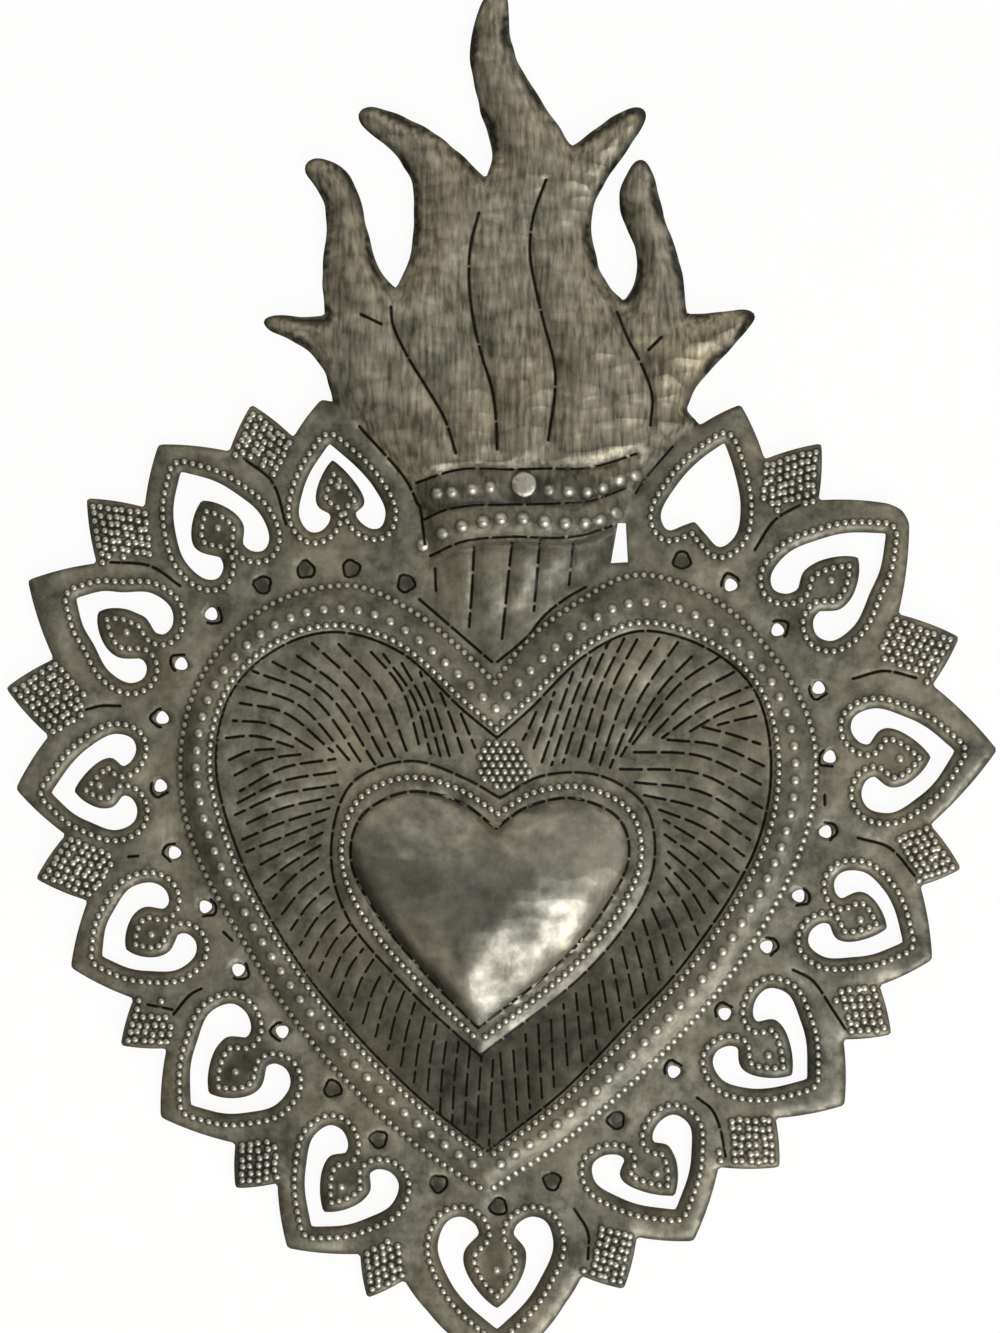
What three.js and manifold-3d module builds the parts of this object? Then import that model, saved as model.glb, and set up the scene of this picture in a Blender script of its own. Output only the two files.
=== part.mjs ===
// A sacred-heart wall ornament: one sheet of drum steel, cut, pierced and raised with the hammer,
// with a D-ring hanger riveted behind its collar.
// Millimetres, +Z up, the front faces -Y and the wall is the plane Y = 0.
// The origin is the wall nail, where the bow of the D-ring bears when the ring is turned up.
import * as THREE from "three";
import { mergeVertices } from "three/addons/utils/BufferGeometryUtils.js";
import Module from "manifold-3d";

// Driving dimensions of the sheet
const SHEET_WIDTH = 330; // across the widest leaf and scallop tips
const SHEET_HEIGHT = 460; // top flame tip to the point of the lowest scallop
const SHEET_THICKNESS = 1.2;
const CROWN_RISE = 7; // hollow behind the collar and the foot of the flames
const CROWN_SHOULDER = 14; // run from the crown's edge to its full rise
const TIP_SHARE = 0.52; // what is left of the rise at the flame tips
const TIP_RUN = 50; // run from the full rise over the hanger to the rise of the tips
const HANGER_ZONE_HALF = 20; // the full rise is kept this far to both sides of the rivet
const HANGER_ZONE_TOP = 45; // and this far over it
const NECK_RISE = 4.2; // hollow behind the neck, just under the collar
const NECK_POINT_SHARE = 0.15; // what is left of it at the neck's point
const NECK_SHOULDER = 10; // run from the neck's edge to its full rise
const NECK_STEP_START = 1.5; // from the collar's lower line down to the step onto the neck
const NECK_STEP_RUN = 6;
const BAND_RISE = 3.6; // crest of the beaded band round the heart
const BAND_LIP_RISE = 2.4; // band's inner edge, where the dished field starts
const FIELD_RISE = 0.6; // lowest part of the dished field inside the band
const DOME_RISE = 15; // top of the small heart in the middle
const DOME_STEP = 1.5; // how far the foot of the small heart stands over the field
const PUNCH_DIAMETER = 4.2; // small punched holes between the scallops and the band
const PLATE_LAP = 1.2; // how far the flat border runs in under each raised form

// Driving dimensions of the hanger
const RIVET_SHANK_DIAMETER = 4;
const RIVET_HEAD_DIAMETER = 8.6;
const RIVET_HEAD_HEIGHT = 1.5;
const RIVET_TAIL_DIAMETER = 7;
const RIVET_TAIL_HEIGHT = 1.5;
const RIVET_BREAK = 0.75; // share of the radius where a hammered face breaks towards its rim
const STRAP_WIDTH = 12;
const STRAP_THICKNESS = 1;
const STRAP_REACH = 11; // eye axis down to the rivet
const STRAP_TAIL = 5.5; // rivet down to the strap's lower end
const STRAP_WRAP = 50; // degrees below level where the eye's curve runs into the back leaf
const RING_WIRE_DIAMETER = 2.6;
const RING_WIDTH = 24; // between wire centres
const RING_LENGTH = 27; // bar to bow, between wire centres
const RING_CORNER_RADIUS = 4;

// Clearances
const SEAT_GAP = 0.3; // between faces that lie on each other
const HOLE_CLEARANCE = 0.3; // round the rivet's shank
const EYE_CLEARANCE = 0.3; // round the ring's bar in the strap's eye

// Fineness of the facets
const CROWN_GRID = 5.3; // spacing of the crown's surface points
const EDGE_STEP = 5; // spacing of points along curved edges
const HEART_STEPS = 34; // points down each half of a heart outline
const BAND_CREST = 0.5; // share of the way across the band where it stands highest
const BAND_RINGS = [0.15, BAND_CREST, 0.8]; // shares across the band that get a ring of points
const FIELD_RINGS = [0.4, 0.8]; // shares across the dished field
const DOME_RINGS = [1, 0.85, 0.65, 0.35]; // shares of the small heart's size, foot to near its top
const ROUND_STEPS = 20; // points round a hole, shank or head
const PUNCH_STEPS = 6; // points round a small piercing
const RING_STEPS = 60; // stations along the ring's wire
const WIRE_STEPS = 10; // points round the wire
const CORNER_STEPS = 2; // chords in a rounded corner of the border
const MERGE_DISTANCE = 1e-4; // points closer than this are one point

// The sheet's pattern, drawn on a grid with x to the right and y down. It is this wide and this tall:
const DRAWING_WIDTH = 990;
const DRAWING_HEIGHT = 1380;
const RIVET_SPOT = [524, 485];

// Cut edge of the border, clockwise from the right flame to the left one: tips and notches
const BORDER_CORNERS = [
  [700, 425], [741, 404], [765, 459], [822, 443], [819, 500], [888, 503], [903, 510], [910, 523],
  [899, 614], [960, 637], [933, 685], [998, 750], [931, 825], [962, 869], [921, 886], [933, 960],
  [880, 986], [892, 1035], [844, 1040], [845, 1106], [776, 1119], [780, 1168], [719, 1168], [694, 1242],
  [637, 1238], [624, 1290], [582, 1277], [565, 1305], [540, 1338], [497, 1367], [452, 1338], [428, 1313],
  [404, 1281], [367, 1299], [360, 1255], [287, 1249], [277, 1184], [235, 1189], [235, 1144], [160, 1118],
  [166, 1049], [120, 1046], [133, 999], [70, 968], [87, 901], [35, 879], [65, 835], [15, 789],
  [48, 736], [5, 688], [53, 659], [27, 580], [96, 563], [86, 498], [144, 507], [158, 444],
  [229, 451], [251, 404], [293, 437], [321, 399], [333, 402],
];
const BORDER_CORNER_ROUNDING = 2.2;

// Cut edges of the flames from left to right, each run from one notch over a tongue to the next
const FLAME_RUNS = [
  [[333, 402], [325, 374], [306, 349], [268, 328], [263, 321], [272, 315], [300, 316], [325, 315]],
  [[325, 315], [322, 276], [326, 215], [318, 190], [305, 172], [306, 162], [318, 158], [340, 165],
    [356, 187], [368, 232], [379, 268], [395, 288]],
  [[395, 288], [408, 262], [414, 215], [411, 180], [392, 150], [360, 122], [358, 113], [370, 106],
    [400, 114], [440, 136], [486, 177]],
  [[486, 177], [492, 153], [480, 108], [470, 55], [475, 20], [486, -6], [497, -13], [507, -4],
    [509, 25], [516, 56], [540, 97], [572, 146]],
  [[572, 146], [601, 124], [632, 107], [644, 108], [646, 118], [627, 150], [603, 185], [592, 216],
    [594, 245], [605, 280], [624, 301]],
  [[624, 301], [636, 278], [636, 250], [622, 215], [620, 192], [634, 162], [643, 159], [652, 170],
    [665, 218], [682, 270], [687, 314]],
  [[687, 314], [715, 312], [746, 309], [756, 315], [748, 329], [722, 358], [696, 387], [687, 409]],
];

// Foot of the crown, where flames, collar and neck rise out of the flat border, right to left
const CROWN_FOOT = [
  [700, 425], [673, 446], [646, 480], [632, 500], [615, 545], [598, 577], [560, 604], [525, 634],
  [494, 664], [455, 625], [432, 585], [424, 545], [416, 505], [404, 480], [360, 430], [333, 402],
];

// Lower line of the collar, left to right
const COLLAR_FOOT = [[430, 556], [456, 544], [472, 540], [510, 537], [560, 538], [587, 534], [612, 526]];
const NECK_POINT = [494, 664];

// Heart outlines, each half from the notch at the top to the point below
const BAND_OUTER = {
  right: [[495, 681], [525, 640], [575, 602], [636, 573], [710, 595], [772, 652], [813, 727], [814, 810],
    [777, 905], [704, 1011], [577, 1133], [487, 1194]],
  left: [[495, 681], [455, 642], [410, 608], [351, 584], [267, 605], [202, 673], [179, 755], [190, 840],
    [249, 953], [322, 1057], [416, 1147], [487, 1194]],
};
const BAND_INNER = {
  right: [[497, 738], [529, 710], [587, 654], [641, 631], [710, 650], [755, 692], [771, 764], [755, 849],
    [684, 963], [623, 1029], [564, 1090], [487, 1151]],
  left: [[497, 738], [462, 709], [400, 652], [336, 632], [280, 647], [233, 690], [216, 763], [243, 864],
    [299, 963], [355, 1033], [420, 1098], [487, 1151]],
};
const SMALL_HEART = {
  right: [[500, 798], [542, 776], [601, 776], [645, 806], [655, 855], [640, 903], [586, 972], [480, 1056]],
  left: [[500, 798], [464, 778], [410, 761], [352, 783], [331, 848], [345, 913], [406, 987], [480, 1056]],
};
const DOME_FOOT = {
  right: [[496, 828], [525, 808], [571, 798], [618, 818], [629, 855], [605, 908], [560, 962], [478, 1028]],
  left: [[496, 828], [460, 802], [406, 792], [361, 817], [351, 860], [378, 915], [425, 973], [478, 1028]],
};
const DOME_CENTRE = [490, 895];

// Heart-shaped piercings with a leaf inside: point, leaf tip, middle of the stem, and for each side the
// lobe's centre with how full the outer cut and the leaf are against the half drawn below
const PIERCED_HEARTS = [
  { point: [329, 443], leaf: [332, 459], stem: [342, 508], lobes: [[316, 521, 1, 1], [370, 518, 1.1, 1.05]] },
  { point: [180, 471], leaf: [201, 500], stem: [231, 550],
    lobes: [[207, 566, 1, 1.2], [256, 536, 0.95, 0.95]] },
  { point: [75, 598], leaf: [97, 612], stem: [150, 648],
    lobes: [[129, 671, 0.74, 0.98], [160, 614, 0.72, 0.72]] },
  { point: [50, 793], leaf: [73, 791], stem: [120, 781],
    lobes: [[125, 813, 0.88, 0.86], [124, 750, 1.03, 0.97]] },
  { point: [101, 957], leaf: [125, 950], stem: [172, 922],
    lobes: [[184, 950, 0.9, 0.93], [152, 895, 0.88, 0.93]] },
  { point: [190, 1106], leaf: [208, 1094], stem: [257, 1054],
    lobes: [[277, 1082, 0.93, 0.97], [233, 1020, 0.88, 0.88]] },
  { point: [311, 1228], leaf: [323, 1213], stem: [356, 1166],
    lobes: [[385, 1185, 0.91, 0.88], [333, 1140, 0.94, 0.92]] },
  { point: [497, 1331], leaf: [497, 1310], stem: [496, 1238],
    lobes: [[534, 1233, 0.92, 0.9], [459, 1233, 1.03, 1.03]] },
  { point: [676, 1211], leaf: [675, 1197], stem: [641, 1155],
    lobes: [[669, 1129, 0.93, 0.8], [607, 1167, 0.94, 1.03]] },
  { point: [808, 1080], leaf: [793, 1076], stem: [749, 1039],
    lobes: [[768, 1004, 0.9, 0.92], [726, 1060, 1.08, 1.04]] },
  { point: [904, 943], leaf: [888, 929], stem: [838, 912],
    lobes: [[847, 884, 1.07, 1.06], [821, 939, 0.88, 0.97]] },
  { point: [956, 751], leaf: [932, 757], stem: [874, 760],
    lobes: [[865, 727, 0.93, 1.06], [876, 796, 0.94, 0.92]] },
  { point: [887, 533], leaf: [859, 557], stem: [809, 599],
    lobes: [[786, 577, 0.95, 0.88], [832, 626, 0.78, 0.92]] },
];
// One half of such a piercing: first number along the axis from stem (0) to point or leaf tip (1),
// second number sideways, with the lobe's centre at LOBE_SPOT
const PIERCED_OUTER_HALF = [
  [1, 0], [0.69, 0.54], [0.45, 0.8], [0.1, 1], [-0.17, 0.85], [-0.225, 0.6], [-0.14, 0.36], [-0.04, 0.29],
];
const PIERCED_LEAF_HALF = [
  [-0.04, 0.29], [0.17, 0.53], [0.31, 0.56], [0.48, 0.51], [0.69, 0.37], [0.87, 0.19], [1, 0],
];
const LOBE_SPOT = [-0.06, 0.64];
const FULL_FROM = -0.04; // along the axis, where a side's fullness starts to show
const FULL_RUN = 0.3; // and the run over which it comes to its whole value

// The one plain heart piercing, at the upper right, as two runs from its point to its notch
const PLAIN_HEART_RUNS = [
  [[725, 442], [734, 468], [741, 505], [736, 535], [720, 547], [706, 534], [695, 521]],
  [[695, 521], [684, 525], [668, 530], [661, 515], [680, 481], [700, 460], [725, 442]],
];

// Slit of the neck's right side, and the punched holes
const NECK_SLOT = [[618, 523], [626, 523], [628, 562], [611, 563]];
const PUNCHED_SPOTS = [
  [211, 614], [181, 664], [162, 718], [160, 786], [174, 853], [205, 907], [238, 970], [282, 1032],
  [674, 1072], [725, 1014], [767, 947], [799, 896], [826, 832], [830, 757], [819, 688], [778, 630],
  [731, 585],
];

// Depths worked out from the dimensions above
const EYE_INNER_RADIUS = RING_WIRE_DIAMETER / 2 + EYE_CLEARANCE;
const EYE_OUTER_RADIUS = EYE_INNER_RADIUS + STRAP_THICKNESS;
const EYE_DEPTH = -CROWN_RISE + SEAT_GAP + EYE_OUTER_RADIUS;
const EYE_HEIGHT = -(RING_LENGTH - RING_WIRE_DIAMETER / 2);
const RIVET_HEIGHT = EYE_HEIGHT - STRAP_REACH;
const STRAP_LOW_END = -STRAP_REACH - STRAP_TAIL;
const STRAP_BACK = 2 * SEAT_GAP + 2 * STRAP_THICKNESS;

const wasm = await Module();
wasm.setup();

// Boolean solids

function toSolid(geometry) {
  const bare = geometry.clone();
  bare.deleteAttribute("normal");
  bare.deleteAttribute("uv");
  const merged = mergeVertices(bare, MERGE_DISTANCE);
  return new wasm.Manifold(
    new wasm.Mesh({
      numProp: 3,
      vertProperties: merged.getAttribute("position").array,
      triVerts: new Uint32Array(merged.index.array),
    }),
  );
}

function toGeometry(solid) {
  const mesh = solid.getMesh();
  const geometry = new THREE.BufferGeometry();
  geometry.setAttribute("position", new THREE.BufferAttribute(new Float32Array(mesh.vertProperties), 3));
  geometry.setIndex(new THREE.BufferAttribute(new Uint32Array(mesh.triVerts), 1));
  geometry.computeVertexNormals();
  return geometry;
}

// Plane shapes, with Vector2 x and y standing for X and Z

function place([x, y]) {
  const [rivetX, rivetY] = RIVET_SPOT;
  return new THREE.Vector2(
    ((x - rivetX) * SHEET_WIDTH) / DRAWING_WIDTH,
    RIVET_HEIGHT + ((rivetY - y) * SHEET_HEIGHT) / DRAWING_HEIGHT,
  );
}

function smoothCurve(points) {
  const knots = points.map((p) => new THREE.Vector3(p.x, p.y, 0));
  return new THREE.CatmullRomCurve3(knots, false, "centripetal");
}

function smoothRun(points, steps) {
  const curve = smoothCurve(points);
  const count = steps ?? Math.max(2, Math.round(curve.getLength() / EDGE_STEP));
  return curve.getSpacedPoints(count).map((p) => new THREE.Vector2(p.x, p.y));
}

// Runs that follow each other, joined into one list without the doubled ends
function joinRuns(runs) {
  return runs.flatMap((run) => run.slice(0, -1));
}

function roundedCorners(corners, rounding) {
  const outline = [corners[0]];
  for (let i = 1; i < corners.length - 1; i++) {
    const corner = corners[i];
    const back = corners[i - 1].clone().sub(corner);
    const on = corners[i + 1].clone().sub(corner);
    const trim = Math.min(rounding, back.length() / 3, on.length() / 3);
    const start = corner.clone().addScaledVector(back.normalize(), trim);
    const end = corner.clone().addScaledVector(on.normalize(), trim);
    outline.push(...new THREE.QuadraticBezierCurve(start, corner, end).getPoints(CORNER_STEPS));
  }
  outline.push(corners.at(-1));
  return outline;
}

function circlePoints(centre, radius, steps) {
  return Array.from({ length: steps }, (_, i) => {
    const angle = (2 * Math.PI * i) / steps;
    return new THREE.Vector2(centre.x + radius * Math.cos(angle), centre.y + radius * Math.sin(angle));
  });
}

function pierceHeart({ point, leaf, stem, lobes }) {
  const root = place(stem);
  const axis = place(point).sub(root);
  const leafAxis = place(leaf).sub(root);
  const halves = lobes.map(([x, y, outerFull, leafFull]) => {
    const [lobeAlong, lobeAside] = LOBE_SPOT;
    const aside = place([x, y]).sub(root).addScaledVector(axis, -lobeAlong).divideScalar(lobeAside);
    const spot = (along, full, [u, v]) => {
      const fullness = 1 + (full - 1) * THREE.MathUtils.clamp((u - FULL_FROM) / FULL_RUN, 0, 1);
      return root.clone().addScaledVector(along, u).addScaledVector(aside, v * fullness);
    };
    const outer = smoothRun(PIERCED_OUTER_HALF.map((p) => spot(axis, outerFull, p)));
    const inner = smoothRun(PIERCED_LEAF_HALF.map((p) => spot(leafAxis, leafFull, p)));
    return [...outer.slice(0, -1), ...inner];
  });
  const [down, up] = halves;
  return [...down.slice(0, -1), ...up.reverse().slice(0, -1)];
}

// A closed heart: its right half down to the point, then its left half back up
function heartOutline({ right, left }) {
  const down = smoothRun(right.map(place), HEART_STEPS);
  const up = smoothRun(left.map(place), HEART_STEPS).reverse();
  return [...down.slice(0, -1), ...up.slice(0, -1)];
}

function blendOutlines(from, to, share) {
  return from.map((p, i) => p.clone().lerp(to[i], share));
}

function shrinkOutline(outline, centre, share) {
  return outline.map((p) => centre.clone().lerp(p, share));
}

// A run of points moved sideways by a distance, towards the left of its direction of travel
function shiftRun(run, distance, closed) {
  const last = run.length - 1;
  return run.map((p, i) => {
    const before = run[i > 0 ? i - 1 : closed ? last : 0];
    const after = run[i < last ? i + 1 : closed ? 0 : last];
    const travel = after.clone().sub(before).normalize();
    return new THREE.Vector2(p.x - travel.y * distance, p.y + travel.x * distance);
  });
}

// Distance from a point to a closed outline, positive inside it
function depthInside(outline, x, y) {
  let nearest = Infinity;
  let inside = false;
  outline.forEach((b, i) => {
    const a = outline.at(i - 1);
    const runX = b.x - a.x;
    const runY = b.y - a.y;
    const share = ((x - a.x) * runX + (y - a.y) * runY) / (runX * runX + runY * runY);
    const held = THREE.MathUtils.clamp(share, 0, 1);
    nearest = Math.min(nearest, Math.hypot(x - a.x - held * runX, y - a.y - held * runY));
    if (a.y > y !== b.y > y && x < a.x + ((y - a.y) / runY) * runX) inside = !inside;
  });
  return inside ? nearest : -nearest;
}

// Height of a run of points, ordered left to right, at x
function heightOnRun(run, x) {
  const next = run.findIndex((p) => p.x >= x);
  if (next < 1) return (next === 0 ? run[0] : run.at(-1)).y;
  const before = run[next - 1];
  return before.y + ((run[next].y - before.y) * (x - before.x)) / (run[next].x - before.x);
}

// A rise that comes to its full height over a shoulder, and falls away outside the edge
function shouldered(rise, shoulder, depth) {
  if (depth < 0) return (2 * rise * depth) / shoulder;
  const left = Math.max(0, 1 - depth / shoulder);
  return rise * (1 - left * left);
}

// Solids

// A prism of an outline, with holes, from a depth towards the front
function prism(outline, holes, back, thickness) {
  const turns = THREE.ShapeUtils.isClockWise(outline) ? [...outline].reverse() : outline;
  const shape = new THREE.Shape(turns);
  shape.holes = holes.map((hole) => new THREE.Path(hole));
  const geometry = new THREE.ExtrudeGeometry(shape, { depth: thickness, bevelEnabled: false });
  return geometry.rotateX(Math.PI / 2).translate(0, back, 0);
}

// A turned piece on an axis along Y: profile points are radius and depth, front to back
function turned(profile, centreZ) {
  const points = profile.map(([radius, depth]) => new THREE.Vector2(radius, depth));
  return new THREE.LatheGeometry(points, ROUND_STEPS).translate(0, 0, centreZ);
}

// Raised sheet between heart-shaped rings, closed by its top point. Each ring has an outline and the
// heights of its back and front over the wall.
function raisedHeart(rings, top) {
  const count = rings[0].outline.length;
  const positions = [];
  const faces = [];
  rings.forEach(({ outline, back, front }) => {
    outline.forEach((p) => positions.push(p.x, -back, p.y));
    outline.forEach((p) => positions.push(p.x, -front, p.y));
  });
  const topBack = positions.length / 3;
  const topFront = topBack + 1;
  positions.push(top.point.x, -top.back, top.point.y, top.point.x, -top.front, top.point.y);
  const last = rings.length - 1;
  for (let i = 0; i < count; i++) {
    const j = (i + 1) % count;
    rings.slice(1).forEach((_, r) => {
      const outer = 2 * count * r;
      const inner = outer + 2 * count;
      faces.push(outer + i, outer + j, inner + j, outer + i, inner + j, inner + i);
      const outerFront = outer + count;
      const innerFront = inner + count;
      faces.push(outerFront + i, innerFront + j, outerFront + j);
      faces.push(outerFront + i, innerFront + i, innerFront + j);
    });
    faces.push(i, count + j, j, i, count + i, count + j);
    const lastBack = 2 * count * last;
    faces.push(lastBack + i, lastBack + j, topBack);
    faces.push(lastBack + count + i, topFront, lastBack + count + j);
  }
  const geometry = new THREE.BufferGeometry();
  geometry.setAttribute("position", new THREE.BufferAttribute(new Float32Array(positions), 3));
  geometry.setIndex(faces);
  return geometry;
}

// A slab of sheet over a square grid, whose back stands over the wall by heightAt(x, z)
function gridSlab(box, spacing, heightAt) {
  const columns = Math.ceil((box.max.x - box.min.x) / spacing) + 2;
  const rows = Math.ceil((box.max.y - box.min.y) / spacing) + 2;
  const spots = columns * rows;
  const back = [];
  const front = [];
  for (let r = 0; r < rows; r++) {
    for (let c = 0; c < columns; c++) {
      const x = box.min.x + (c - 0.5) * spacing;
      const z = box.min.y + (r - 0.5) * spacing;
      const height = heightAt(x, z);
      back.push(x, -height, z);
      front.push(x, -height - SHEET_THICKNESS, z);
    }
  }
  const faces = [];
  const rim = [];
  for (let r = 0; r < rows - 1; r++) {
    for (let c = 0; c < columns - 1; c++) {
      const a = r * columns + c;
      const b = a + 1;
      const d = a + columns;
      const e = d + 1;
      faces.push(a, e, b, a, d, e);
      faces.push(spots + a, spots + b, spots + e, spots + a, spots + e, spots + d);
      if (r === 0) rim.push([a, b]);
      if (r === rows - 2) rim.push([e, d]);
      if (c === 0) rim.push([d, a]);
      if (c === columns - 2) rim.push([b, e]);
    }
  }
  rim.forEach(([a, b]) => faces.push(a, b, spots + b, a, spots + b, spots + a));
  const geometry = new THREE.BufferGeometry();
  geometry.setAttribute("position", new THREE.BufferAttribute(new Float32Array([...back, ...front]), 3));
  geometry.setIndex(faces);
  return geometry;
}

// The sheet

function flatBorder() {
  const edge = roundedCorners(BORDER_CORNERS.map(place), BORDER_CORNER_ROUNDING);
  const foot = CROWN_FOOT.map(place).reverse().slice(1, -1);
  const footLapped = shiftRun(foot, PLATE_LAP, false);
  const heartOpening = shiftRun(heartOutline(BAND_OUTER), -PLATE_LAP, true);
  const plainHeart = joinRuns(PLAIN_HEART_RUNS.map((run) => smoothRun(run.map(place))));
  const piercings = PUNCHED_SPOTS.map((spot) => circlePoints(place(spot), PUNCH_DIAMETER / 2, PUNCH_STEPS));
  const holes = [heartOpening, plainHeart, ...PIERCED_HEARTS.map(pierceHeart), ...piercings];
  return toSolid(prism([...edge, ...footLapped], holes, 0, SHEET_THICKNESS));
}

function raisedCrown() {
  const flames = joinRuns(FLAME_RUNS.map((run) => smoothRun(run.map(place))));
  const outline = [...flames, ...CROWN_FOOT.map(place).slice(0, -1)];
  const box = new THREE.Box2().setFromPoints(outline);
  const collarFoot = COLLAR_FOOT.map(place);
  const neckPoint = place(NECK_POINT);
  const slab = gridSlab(box, CROWN_GRID, (x, z) => {
    const depth = depthInside(outline, x, z);
    const away = Math.max(Math.abs(x) - HANGER_ZONE_HALF, z - RIVET_HEIGHT - HANGER_ZONE_TOP);
    const flames = CROWN_RISE * (1 - (1 - TIP_SHARE) * THREE.MathUtils.clamp(away / TIP_RUN, 0, 1));
    const foot = heightOnRun(collarFoot, x);
    const drop = THREE.MathUtils.smoothstep(foot - NECK_STEP_START - z, 0, NECK_STEP_RUN);
    const down = THREE.MathUtils.clamp((foot - z) / (foot - neckPoint.y), 0, 1);
    const neck = NECK_RISE * (1 - (1 - NECK_POINT_SHARE) * down);
    const high = shouldered(flames, CROWN_SHOULDER, depth);
    return high + drop * (Math.min(high, shouldered(neck, NECK_SHOULDER, depth)) - high);
  });
  const blank = prism(outline, [], 0, 2 * (CROWN_RISE + SHEET_THICKNESS));
  return toSolid(slab).intersect(toSolid(blank));
}

function raisedCentre() {
  const bandOuter = heartOutline(BAND_OUTER);
  const bandInner = heartOutline(BAND_INNER);
  const smallHeart = heartOutline(SMALL_HEART);
  const domeFoot = heartOutline(DOME_FOOT);
  const centre = place(DOME_CENTRE);
  const sheet = (outline, back) => ({ outline, back, front: back + SHEET_THICKNESS });
  const buried = SHEET_THICKNESS / 4;
  const rim = { outline: bandOuter, back: buried, front: SHEET_THICKNESS - buried };
  const domeFootRise = FIELD_RISE + DOME_STEP;
  const band = (share) => {
    const fall = share < BAND_CREST ? 1 - share / BAND_CREST : (share - BAND_CREST) / (1 - BAND_CREST);
    return BAND_RISE - fall * fall * (share < BAND_CREST ? BAND_RISE : BAND_RISE - BAND_LIP_RISE);
  };
  const field = (share) => FIELD_RISE + (BAND_LIP_RISE - FIELD_RISE) * (1 - share) * (1 - share);
  const dome = (share) => domeFootRise + (DOME_RISE - domeFootRise) * (1 - share * share);
  const rings = [
    rim,
    ...BAND_RINGS.map((share) => sheet(blendOutlines(bandOuter, bandInner, share), band(share))),
    sheet(bandInner, BAND_LIP_RISE),
    ...FIELD_RINGS.map((share) => sheet(blendOutlines(bandInner, smallHeart, share), field(share))),
    sheet(smallHeart, FIELD_RISE),
    ...DOME_RINGS.map((share) => sheet(shrinkOutline(domeFoot, centre, share), dome(share))),
  ];
  const top = { point: centre, back: DOME_RISE, front: DOME_RISE + SHEET_THICKNESS };
  return toSolid(raisedHeart(rings, top));
}

function heartSheet() {
  const whole = flatBorder().add(raisedCrown()).add(raisedCentre());
  const through = 2 * (CROWN_RISE + SHEET_THICKNESS);
  const slot = prism(NECK_SLOT.map(place), [], SHEET_THICKNESS, through);
  const holeRadius = RIVET_SHANK_DIAMETER / 2 + HOLE_CLEARANCE;
  const hole = prism(circlePoints(place(RIVET_SPOT), holeRadius, ROUND_STEPS), [], 0, through);
  return toGeometry(whole.subtract(toSolid(slot)).subtract(toSolid(hole)));
}

// The hanger

// The strip seen from its edge: a front leaf on the sheet, a turn round the ring's bar, and a back leaf on
// the front one. Here x is the distance behind the sheet and y the height over the eye's axis.
function hangerStrap() {
  const eyeX = SEAT_GAP + EYE_OUTER_RADIUS;
  const wrap = THREE.MathUtils.degToRad(STRAP_WRAP);
  const frontFace = SEAT_GAP;
  const frontLeafBack = frontFace + STRAP_THICKNESS;
  const backLeafFront = frontLeafBack + SEAT_GAP;
  const run = (radius, face) => {
    const x = eyeX + radius * Math.cos(wrap);
    const y = -radius * Math.sin(wrap);
    return [x, y, y - ((x - face) * Math.cos(wrap)) / Math.sin(wrap)];
  };
  const [, , outerLanding] = run(EYE_OUTER_RADIUS, STRAP_BACK);
  const [innerX, innerY, innerLanding] = run(EYE_INNER_RADIUS, backLeafFront);
  const shape = new THREE.Shape();
  shape.moveTo(frontFace, STRAP_LOW_END);
  shape.lineTo(frontFace, 0);
  shape.absarc(eyeX, 0, EYE_OUTER_RADIUS, Math.PI, -wrap, true);
  shape.lineTo(STRAP_BACK, outerLanding);
  shape.lineTo(STRAP_BACK, STRAP_LOW_END);
  shape.lineTo(backLeafFront, STRAP_LOW_END);
  shape.lineTo(backLeafFront, innerLanding);
  shape.lineTo(innerX, innerY);
  shape.absarc(eyeX, 0, EYE_INNER_RADIUS, -wrap, Math.PI, false);
  shape.lineTo(frontLeafBack, STRAP_LOW_END);
  const strip = new THREE.ExtrudeGeometry(shape, {
    depth: STRAP_WIDTH,
    bevelEnabled: false,
    curveSegments: WIRE_STEPS,
  });
  const toFrame = new THREE.Matrix4().makeBasis(
    new THREE.Vector3(0, 1, 0),
    new THREE.Vector3(0, 0, 1),
    new THREE.Vector3(1, 0, 0),
  );
  strip.translate(0, 0, -STRAP_WIDTH / 2).applyMatrix4(toFrame).translate(0, -CROWN_RISE, EYE_HEIGHT);
  const holeRadius = RIVET_SHANK_DIAMETER / 2 + HOLE_CLEARANCE;
  const hole = prism(circlePoints(place(RIVET_SPOT), holeRadius, ROUND_STEPS), [], 0, 2 * CROWN_RISE);
  return toGeometry(toSolid(strip).subtract(toSolid(hole)));
}

function hangerRivet() {
  const shank = RIVET_SHANK_DIAMETER / 2;
  const head = RIVET_HEAD_DIAMETER / 2;
  const tail = RIVET_TAIL_DIAMETER / 2;
  const headSeat = -CROWN_RISE - SHEET_THICKNESS - SEAT_GAP;
  const headTop = headSeat - RIVET_HEAD_HEIGHT;
  const tailSeat = -CROWN_RISE + STRAP_BACK + SEAT_GAP;
  const tailEnd = tailSeat + RIVET_TAIL_HEIGHT;
  const profile = [
    [0, headTop], [head / 2, headTop], [RIVET_BREAK * head, headTop + RIVET_HEAD_HEIGHT / 6],
    [head, headSeat - RIVET_HEAD_HEIGHT / 3], [head, headSeat], [shank, headSeat], [shank, tailSeat],
    [tail, tailSeat], [tail, tailEnd - RIVET_TAIL_HEIGHT / 2], [RIVET_BREAK * tail, tailEnd], [0, tailEnd],
  ];
  return turned(profile, RIVET_HEIGHT);
}

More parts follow.
